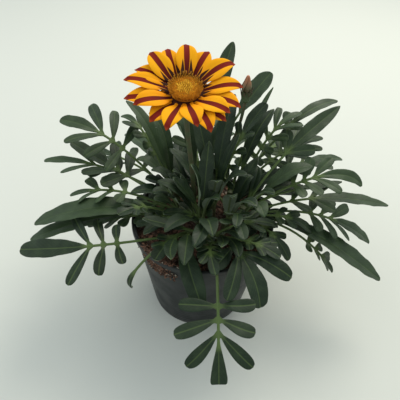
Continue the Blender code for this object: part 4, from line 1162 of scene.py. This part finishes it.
def open_floret():
    """A tube whose rim opens into five lobes, with the dark column of its anthers."""
    profile = [(0, -1.0), (0.4, -1.0), (0.5, 0.9), (1.15, 1.5)]
    profile += [(0.5, 1.25), (0.3, 1.2), (0.34, 2.4), (0, 2.7)]
    points, faces, order = turn_profile(profile, 10)
    rim = order == 3
    lobes = np.cos(5 * np.arctan2(points[:, 1], points[:, 0]))
    points[:, :2] *= np.where(rim, 1 + 0.32 * lobes, 1.0)[:, None]
    points[:, 2] -= np.where(rim, 0.25 * lobes, 0.0)
    return points, faces, order / (len(profile) - 1)


def make_disc():
    rng = random.Random(5)
    shape = Shape("part", "open", "tone", "dusk")
    arc = np.linspace(0, math.pi / 2, 12)
    dome = [(DISC_RADIUS * math.cos(a), DISC_BASE + DISC_HEIGHT * math.sin(a)) for a in arc]
    points, faces, _ = turn_profile([(0, DISC_BASE)] + dome[:-1] + [(0, dome[-1][1])], 60)
    shape.add(points, faces)
    for k in range(FLORETS):
        share = math.sqrt((k + 0.5) / FLORETS) * FLORETS_REACH
        turn = k * GOLDEN_ANGLE
        opened = share + rng.uniform(-0.16, 0.16) > OPEN_FLORETS_FROM
        points, faces, part = open_floret() if opened else closed_floret()
        size = rng.uniform(0.88, 1.1) * (0.75 + 0.35 * share)
        ground = Vector((DISC_RADIUS * share * math.cos(turn), DISC_RADIUS * share * math.sin(turn), 0))
        ground.z = DISC_BASE + DISC_HEIGHT * math.sqrt(1 - 0.93 * share**2)
        lean = share * 0.7
        # painted shade: the outer florets are darker towards their feet, most at the back of the disc
        dusk = float(smooth_step(0.66, 0.94, share)) * (0.45 + 0.55 * math.sin(turn))
        wobble = rng.uniform(-0.1, 0.1)
        outward = Vector((math.cos(turn) * lean, math.sin(turn) * lean, 1)) + Vector((wobble,) * 3)
        turned = np.array(Vector((0, 0, 1)).rotation_difference(outward.normalized()).to_matrix())
        tall = 1 + rng.uniform(0.3, 1.3) * float(smooth_step(0.7, 0.95, share))
        points = points * (size, size, size * tall) @ turned.T + np.array(ground)
        shape.add(points, faces, part=part, open=float(opened), tone=rng.random(), dusk=dusk)

    paint = Paint("disc_florets", (0.6, 0.22, 0.01), 0.75, 0.2)
    part, tone = paint.value("part"), paint.value("tone")
    closed = paint.blend(tone, (0.56, 0.27, 0.014), (0.84, 0.48, 0.035))
    closed = paint.blend(paint.step(part, 0.2, 0.7), (0.30, 0.11, 0.006), closed)
    rim = paint.blend(tone, (0.56, 0.20, 0.008), (0.82, 0.40, 0.02))
    column = paint.step(part, 0.66, 0.8)
    opened = paint.blend(column, rim, (0.56, 0.24, 0.016))
    opened = paint.blend(paint.step(part, 0.15, 0.36), (0.16, 0.05, 0.006), opened)
    colour = paint.blend(paint.value("open"), closed, opened)
    # painted shade between the feet of the outer florets, fading towards their tops
    dusk = paint.math("MULTIPLY", paint.value("dusk"), paint.step(part, 0.35, 0.85, 1.0, 0.2))
    paint.feed("Base Color", paint.blend(dusk, colour, (0.045, 0.014, 0.006)))
    shape.piece("florets", [paint.material], "disc_florets", bloom_matrix(), 40)


def move_points(points, matrix):
    return points @ matrix[:3, :3].T + matrix[:3, 3]


def add_bracts(shape, count, rings, matrix):
    """Rings of pointed bracts round an axis, given as in CUP_BRACT_RINGS."""
    t = np.linspace(0, 1, BRACT_ROWS)
    shares = np.linspace(1, -1, BRACT_COLUMNS)
    for root, tip, half, shift in rings:
        steep = math.degrees(math.atan2(tip[1] - root[1], tip[0] - root[0]))
        width = half * np.clip((1 - t) / 0.5, 0, 1) ** 0.75
        width[-1] = TIP_HALF
        across = width[:, None] * shares
        deep = np.broadcast_to(BRACT_DEEP * np.sqrt(1 - shares**4), across.shape)
        for k in range(count):
            outwards = heading(360 * (k + shift) / count, 0)
            start, end = outwards * root[0] + (0, 0, root[1]), outwards * tip[0] + (0, 0, tip[1])
            rib = Rib(Leaf(tuple(end), steep + 18, -steep - 12, 0, 0), start, FINE_RIB_STEPS)
            middle = move_points(lay_grid(rib, (t * rib.length)[:, None], across), matrix)
            sleeve(shape, middle, deep, deep, (TOP, TOP), part=t[:, None], bract=1.0)


def stalk_material():
    paint = Paint("stalk", (0.10, 0.12, 0.045), 0.5)
    flush = paint.step(paint.noise(6), 0.3, 0.7)
    plain = paint.blend(flush, (0.075, 0.060, 0.030), (0.055, 0.080, 0.030))
    bract = paint.blend(paint.step(paint.value("part"), 0.3, 1.0), (0.05, 0.085, 0.03), (0.08, 0.04, 0.022))
    paint.feed("Base Color", paint.blend(paint.value("bract"), plain, bract))
    paint.bump(paint.noise(0.8), 0.15)
    return paint.material


def fine_stalk(path):
    """A smooth path through the coarse one's points."""
    path = np.array(path, float)
    coarse = np.concatenate([[0.0], np.cumsum(np.linalg.norm(np.diff(path, axis=0), axis=1))])
    places = np.linspace(0, coarse[-1], STALK_POINTS)
    smooth = np.stack([np.interp(places, coarse, path[:, axis]) for axis in range(3)], axis=1)
    for _ in range(STALK_SMOOTHINGS):
        smooth[1:-1] = (smooth[:-2] + 2 * smooth[1:-1] + smooth[2:]) / 4
    return smooth[smooth[:, 2] > STEM_FOOT]


def make_flower_stalk(material):
    shape = Shape("part", "bract")
    path = fine_stalk(flower_stalk_path())
    swell = STALK_RADIUS * (1 + 0.25 * np.linspace(0, 1, len(path)) ** 8)
    shape.add(*closed_tube(path, swell, FINE_SIDES))
    matrix = bloom_matrix()
    matrix.translation /= MM
    matrix = np.array(matrix)
    points, faces, _ = turn_profile(CUP_PROFILE[::-1], 48)
    shape.add(move_points(points, matrix), faces, bract=0.6)
    add_bracts(shape, CUP_BRACTS, CUP_BRACT_RINGS, matrix)
    shape.piece("flower_stalk_and_bracts", [material], "flower_stalk")


def make_bud_stalk(material):
    shape = Shape("part", "bract")
    matrix = np.eye(4)
    matrix[:3, 3] = BUD_CENTRE
    path = fine_stalk(bud_stalk_path())
    shape.add(*closed_tube(path, (BUD_STALK_RADIUS,) * len(path), FINE_SIDES))
    high = BUD_CUP_HEIGHT
    profile = [(0, 0), (BUD_STALK_RADIUS, 0), (BUD_CUP_RADIUS * 0.8, high * 0.2)]
    profile += [(BUD_CUP_RADIUS, high * 0.6), (BUD_CUP_RADIUS * 0.9, high), (0, high)]
    points, faces, _ = turn_profile(profile, 40)
    shape.add(points + BUD_CENTRE, faces, bract=0.6)
    add_bracts(shape, BUD_BRACTS, BUD_BRACT_RINGS, matrix)
    shape.piece("bud_stalk_and_bracts", [material], "bud_stalk")


def make_bud_petals():
    """The closed petals, each lapped over the next and all wound about the bud's axis."""
    shape = Shape("part", "edge")
    points, part, edge = [], [], []
    for ring in range(BUD_RINGS):
        t = ring / (BUD_RINGS - 1)
        swell = BUD_RADIUS * bud_width(t)
        for k in range(BUD_AROUND):
            lap = (BUD_PETALS * k / BUD_AROUND) % 1
            radius = swell * (0.9 + 0.2 * lap**2)
            turn = 2 * math.pi * k / BUD_AROUND + BUD_TURN * t
            points.append((radius * math.cos(turn), radius * math.sin(turn), BUD_LENGTH * t))
            part.append(t)
            edge.append(lap)
    shape.add(points, closed_rings(BUD_RINGS, BUD_AROUND), part=part, edge=edge)
    paint = Paint("bud_petals", (0.5, 0.12, 0.02), 0.55)
    colour = paint.blend(paint.step(paint.value("part"), 0.2, 1.0), (0.12, 0.10, 0.040), (0.42, 0.15, 0.065))
    # painted shade in the crease under the edge of each lapped petal
    lap = paint.step(paint.value("edge"), 0.0, 0.3, 0.6, 0.0)
    paint.feed("Base Color", paint.blend(lap, colour, (0.06, 0.018, 0.012)))
    matrix = Matrix.Translation((Vector(BUD_CENTRE) + Vector((0, 0, BUD_CUP_HEIGHT + CLEARANCE))) * MM)
    shape.piece("bud_closed_petals", [paint.material], "bud_petals", matrix)


def rounded_corner(centre, radius, start, end, steps=5):
    """Points of an arc of a profile, between two angles from level."""
    turns = np.radians(np.linspace(start, end, steps))
    return [(centre[0] + radius * math.cos(a), centre[1] + radius * math.sin(a)) for a in turns]


def make_pot():
    """The pot turned finely, with a rounded lip, faint bands and the drain holes cut through."""
    neck = POT_HEIGHT - LIP_HEIGHT
    floor = FLOOR_RAISE + WALL
    step = FLOOR_RAISE * 0.6
    inner = pot_outer(neck) - WALL
    profile = [(0, 0), (PAD_RADIUS, 0), (PAD_RADIUS + step, FLOOR_RAISE)]
    profile += [(FOOT_INNER_RADIUS - step, FLOOR_RAISE), (FOOT_INNER_RADIUS, 0)]
    profile += rounded_corner((BASE_RADIUS - FOOT_EDGE, FOOT_EDGE), FOOT_EDGE, -90, 0)
    for height in np.arange(3, neck, 1.0):
        band = BAND_DEEP * math.sin(height * 1.5) * max(0, 1 - height / BANDS_TOP)
        profile.append((pot_outer(height) + band - BAND_DEEP, height))
    profile += [(pot_outer(neck), neck), (LIP_RADIUS - 0.3, neck), (LIP_RADIUS, neck + 0.3)]
    profile += rounded_corner((LIP_RADIUS - LIP_EDGE, POT_HEIGHT - LIP_EDGE), LIP_EDGE, 0, 90)
    profile += rounded_corner((inner + LIP_EDGE, POT_HEIGHT - LIP_EDGE), LIP_EDGE, 90, 180)
    profile += [(inner, neck), (pot_outer(floor) - WALL, floor), (FOOT_INNER_RADIUS - step, floor)]
    profile += [(PAD_RADIUS + step, floor), (PAD_RADIUS, WALL), (0, WALL)]
    points, faces, _ = turn_profile(profile, POT_FINE_SIDES)
    shape = Shape()
    shape.add(points, faces)
    paint = Paint("pot", (0.017, 0.019, 0.019), 0.45, 0.35)
    dusty = paint.step(paint.noise(26), 0.45, 0.8)
    paint.feed("Base Color", paint.blend(dusty, (0.012, 0.014, 0.0135), (0.024, 0.026, 0.024)))
    paint.feed("Roughness", paint.step(paint.noise(18), 0.3, 0.7, 0.40, 0.60))
    cut_drain_holes(shape.piece("nursery_pot", [paint.material], "pot", None, 40))


def cut_drain_holes(pot):
    """Cuts the round holes through the floor of the pot."""
    drills = Shape()
    for hole in range(DRAIN_HOLES):
        x, y, _ = heading(360 * (hole + 0.5) / DRAIN_HOLES, 0) * DRAIN_CIRCLE
        top = FLOOR_RAISE + WALL + 1
        drills.add(*closed_tube([(x, y, -1), (x, y, top)], (DRAIN_RADIUS,) * 2, DRAIN_SIDES))
    mesh = bpy.data.meshes.new("drills")
    mesh.from_pydata(drills.points, [], drills.faces)
    drill = bpy.data.objects.new("drills", mesh)
    bpy.context.scene.collection.objects.link(drill)
    cut = pot.modifiers.new("Drain", "BOOLEAN")
    cut.operation = "DIFFERENCE"
    cut.solver = "EXACT"
    cut.object = drill
    finished = bpy.data.meshes.new_from_object(pot.evaluated_get(bpy.context.evaluated_depsgraph_get()))
    pot.modifiers.clear()
    pot.data = finished
    bpy.data.objects.remove(drill)


def soil_level(x, y):
    """Height of the soil's top: two low heaps, crumbly."""
    place = Vector((x / SOIL_LUMP_SIZE, y / SOIL_LUMP_SIZE, 0.3))
    height = SOIL_TOP + SOIL_LUMP * noise.fractal(place, 1.0, 2.0, 4)
    for heap_x, heap_y, rise, reach in HEAPS:
        height += rise * math.exp(-((x - heap_x) ** 2 + (y - heap_y) ** 2) / reach**2)
    return height


def chip_form():
    """The points and faces of a small icosahedron."""
    shape = bmesh.new()
    bmesh.ops.create_icosphere(shape, subdivisions=1, radius=1.0)
    points = np.array([v.co for v in shape.verts])
    faces = [tuple(v.index for v in face.verts) for face in shape.faces]
    shape.free()
    return points, faces


def unshaded_share(x, y):
    """Share of its colour that the soil keeps: painted shade darkens it in the heart of the plant."""
    middle_x, middle_y, _, reach = HEAPS[0]
    return 1 - HEART_SHADE * math.exp(-((x - middle_x) ** 2 + (y - middle_y) ** 2) / reach**2)


def add_chip(shape, form, centre, size, rng):
    """One crumb or splinter of bark."""
    points, faces = form
    long = size * rng.choice(CHIP_LENGTHS)
    axes = np.array([long, size * rng.uniform(0.5, 0.9), size * rng.uniform(0.3, 0.7)])
    rough = np.array([rng.uniform(0.7, 1.15) for _ in points])[:, None]
    turn = Euler([rng.uniform(-0.5, 0.5), rng.uniform(-0.5, 0.5), rng.uniform(0, ANY_TURN)]).to_matrix()
    placed = points * rough * axes @ np.array(turn).T + np.array(centre)
    # painted shade: in the heart the chips' tone is darker and fewer of them are pale
    unshaded = unshaded_share(*centre[:2])
    shape.add(placed, faces, tone=rng.random() * unshaded, pale=float(rng.random() < PALE_CHIPS * unshaded))


def add_soil_block(shape, radius):
    """The lumpy top, and the sides and bottom that the pot hides."""
    floor = FLOOR_RAISE + WALL + CLEARANCE
    foot = pot_outer(floor) - (WALL + CLEARANCE)
    points = [(0, 0, soil_level(0, 0))]
    for ring in range(1, SOIL_RINGS + 1):
        points += [(x, y, soil_level(x, y)) for x, y in circle(radius * ring / SOIL_RINGS, SOIL_AROUND)]
    points += [(x, y, floor) for x, y in circle(foot, SOIL_AROUND)]
    faces = [(0, a, b) for a, b, _ in fan(1, SOIL_AROUND, 0)]
    faces += [(a, d, c, b) for a, b, c, d in ring_faces(SOIL_RINGS + 1, SOIL_AROUND, 1)]
    faces.append(tuple(reversed(range(len(points) - SOIL_AROUND, len(points)))))
    # painted shade: the soil's top is darker in the heart of the plant
    shape.add(points, faces, tone=[0.3 * unshaded_share(x, y) for x, y, _ in points])


def add_chips(shape, radius, rng):
    """Crumbs and bark all over the soil, and those spilled over the lip of the pot."""
    form = chip_form()
    smallest, more = CHIP_SIZE
    for _ in range(CHIPS):
        size = smallest + more * rng.random() ** 2.2
        r, turn = (radius - size * 1.6) * math.sqrt(rng.random()), rng.uniform(0, 2 * math.pi)
        x, y = r * math.cos(turn), r * math.sin(turn)
        add_chip(shape, form, (x, y, soil_level(x, y) + size * 0.25), size, rng)
    for _ in range(LOOSE_CHIPS):
        turn = math.radians(SPILL_AT + rng.gauss(0, SPILL_SPREAD))
        drop = SPILL_DROP * rng.random() ** 1.7 - 1
        on_lip = drop < 2.5
        out = LIP_RADIUS - rng.uniform(0, 3.5) if on_lip else pot_outer(POT_HEIGHT - drop) + 0.5
        height = POT_HEIGHT + 0.3 if on_lip else POT_HEIGHT - drop - 3
        centre = (out * math.cos(turn), out * math.sin(turn), height)
        add_chip(shape, form, centre, rng.uniform(*LOOSE_SIZE), rng)


def make_soil():
    radius = pot_outer(SOIL_TOP) - (WALL + CLEARANCE)
    shape = Shape("tone", "pale")
    add_soil_block(shape, radius)
    add_chips(shape, radius, random.Random(3))
    dark_brown, light_brown, clod_brown = (0.022, 0.014, 0.010), (0.26, 0.125, 0.075), (0.060, 0.038, 0.026)
    paint = Paint("soil", (0.05, 0.028, 0.016), 0.95)
    # the tone runs from dark to light brown, and holds a random tone and the painted shade of the heart
    brown = paint.blend(paint.value("tone"), dark_brown, light_brown)
    brown = paint.blend(paint.step(paint.noise(3), 0.4, 0.85), brown, clod_brown)
    paint.feed("Base Color", paint.blend(paint.value("pale"), brown, (0.36, 0.31, 0.24)))
    paint.bump(paint.noise(0.7), 0.4)
    shape.piece("potting_soil", [paint.material], "soil", None, 30)


def add_area_light(name, place, energy, size, colour):
    light = bpy.data.lights.new(name, "AREA")
    light.energy = energy
    light.size = size
    light.color = colour
    obj = bpy.data.objects.new(name, light)
    obj.location = place
    obj.rotation_euler = (-Vector(place)).to_track_quat("-Z", "Y").to_euler()
    bpy.context.scene.collection.objects.link(obj)


def make_stage():
    """A pale floor, soft light from behind and the right, and the photo's camera."""
    scene = bpy.context.scene
    scene.view_settings.view_transform = "Standard"
    world = bpy.data.worlds.new("sky")
    world.use_nodes = True
    world.node_tree.nodes["Background"].inputs["Color"].default_value = WORLD_COLOUR
    world.node_tree.nodes["Background"].inputs["Strength"].default_value = WORLD_STRENGTH
    scene.world = world

    mesh = bpy.data.meshes.new("floor")
    corners = [(x * FLOOR_REACH, y * FLOOR_REACH, 0) for x, y in ((-1, -1), (1, -1), (1, 1), (-1, 1))]
    mesh.from_pydata(corners, [], [(0, 1, 2, 3)])
    floor = bpy.data.objects.new("floor", mesh)
    scene.collection.objects.link(floor)
    mesh.materials.append(Paint("floor", FLOOR_COLOUR, 0.9).material)
    for light in LIGHTS:
        add_area_light(*light)

    lens = bpy.data.cameras.new("camera")
    lens.lens = LENS
    lens.sensor_width = SENSOR
    camera = bpy.data.objects.new("camera", lens)
    scene.collection.objects.link(camera)
    back = Vector(heading(-90, CAMERA_PITCH))
    camera.rotation_mode = "QUATERNION"
    camera.location = (Vector(CAMERA_TARGET) + back * CAMERA_DISTANCE) * MM
    roll = Matrix.Rotation(math.radians(CAMERA_ROLL), 4, "Z").to_quaternion()
    camera.rotation_quaternion = (-back).to_track_quat("-Z", "Y") @ roll
    scene.camera = camera


make_pot()
make_soil()
make_leaves()
make_petals()
make_disc()
stalk_paint = stalk_material()
make_flower_stalk(stalk_paint)
make_bud_stalk(stalk_paint)
make_bud_petals()
make_stage()
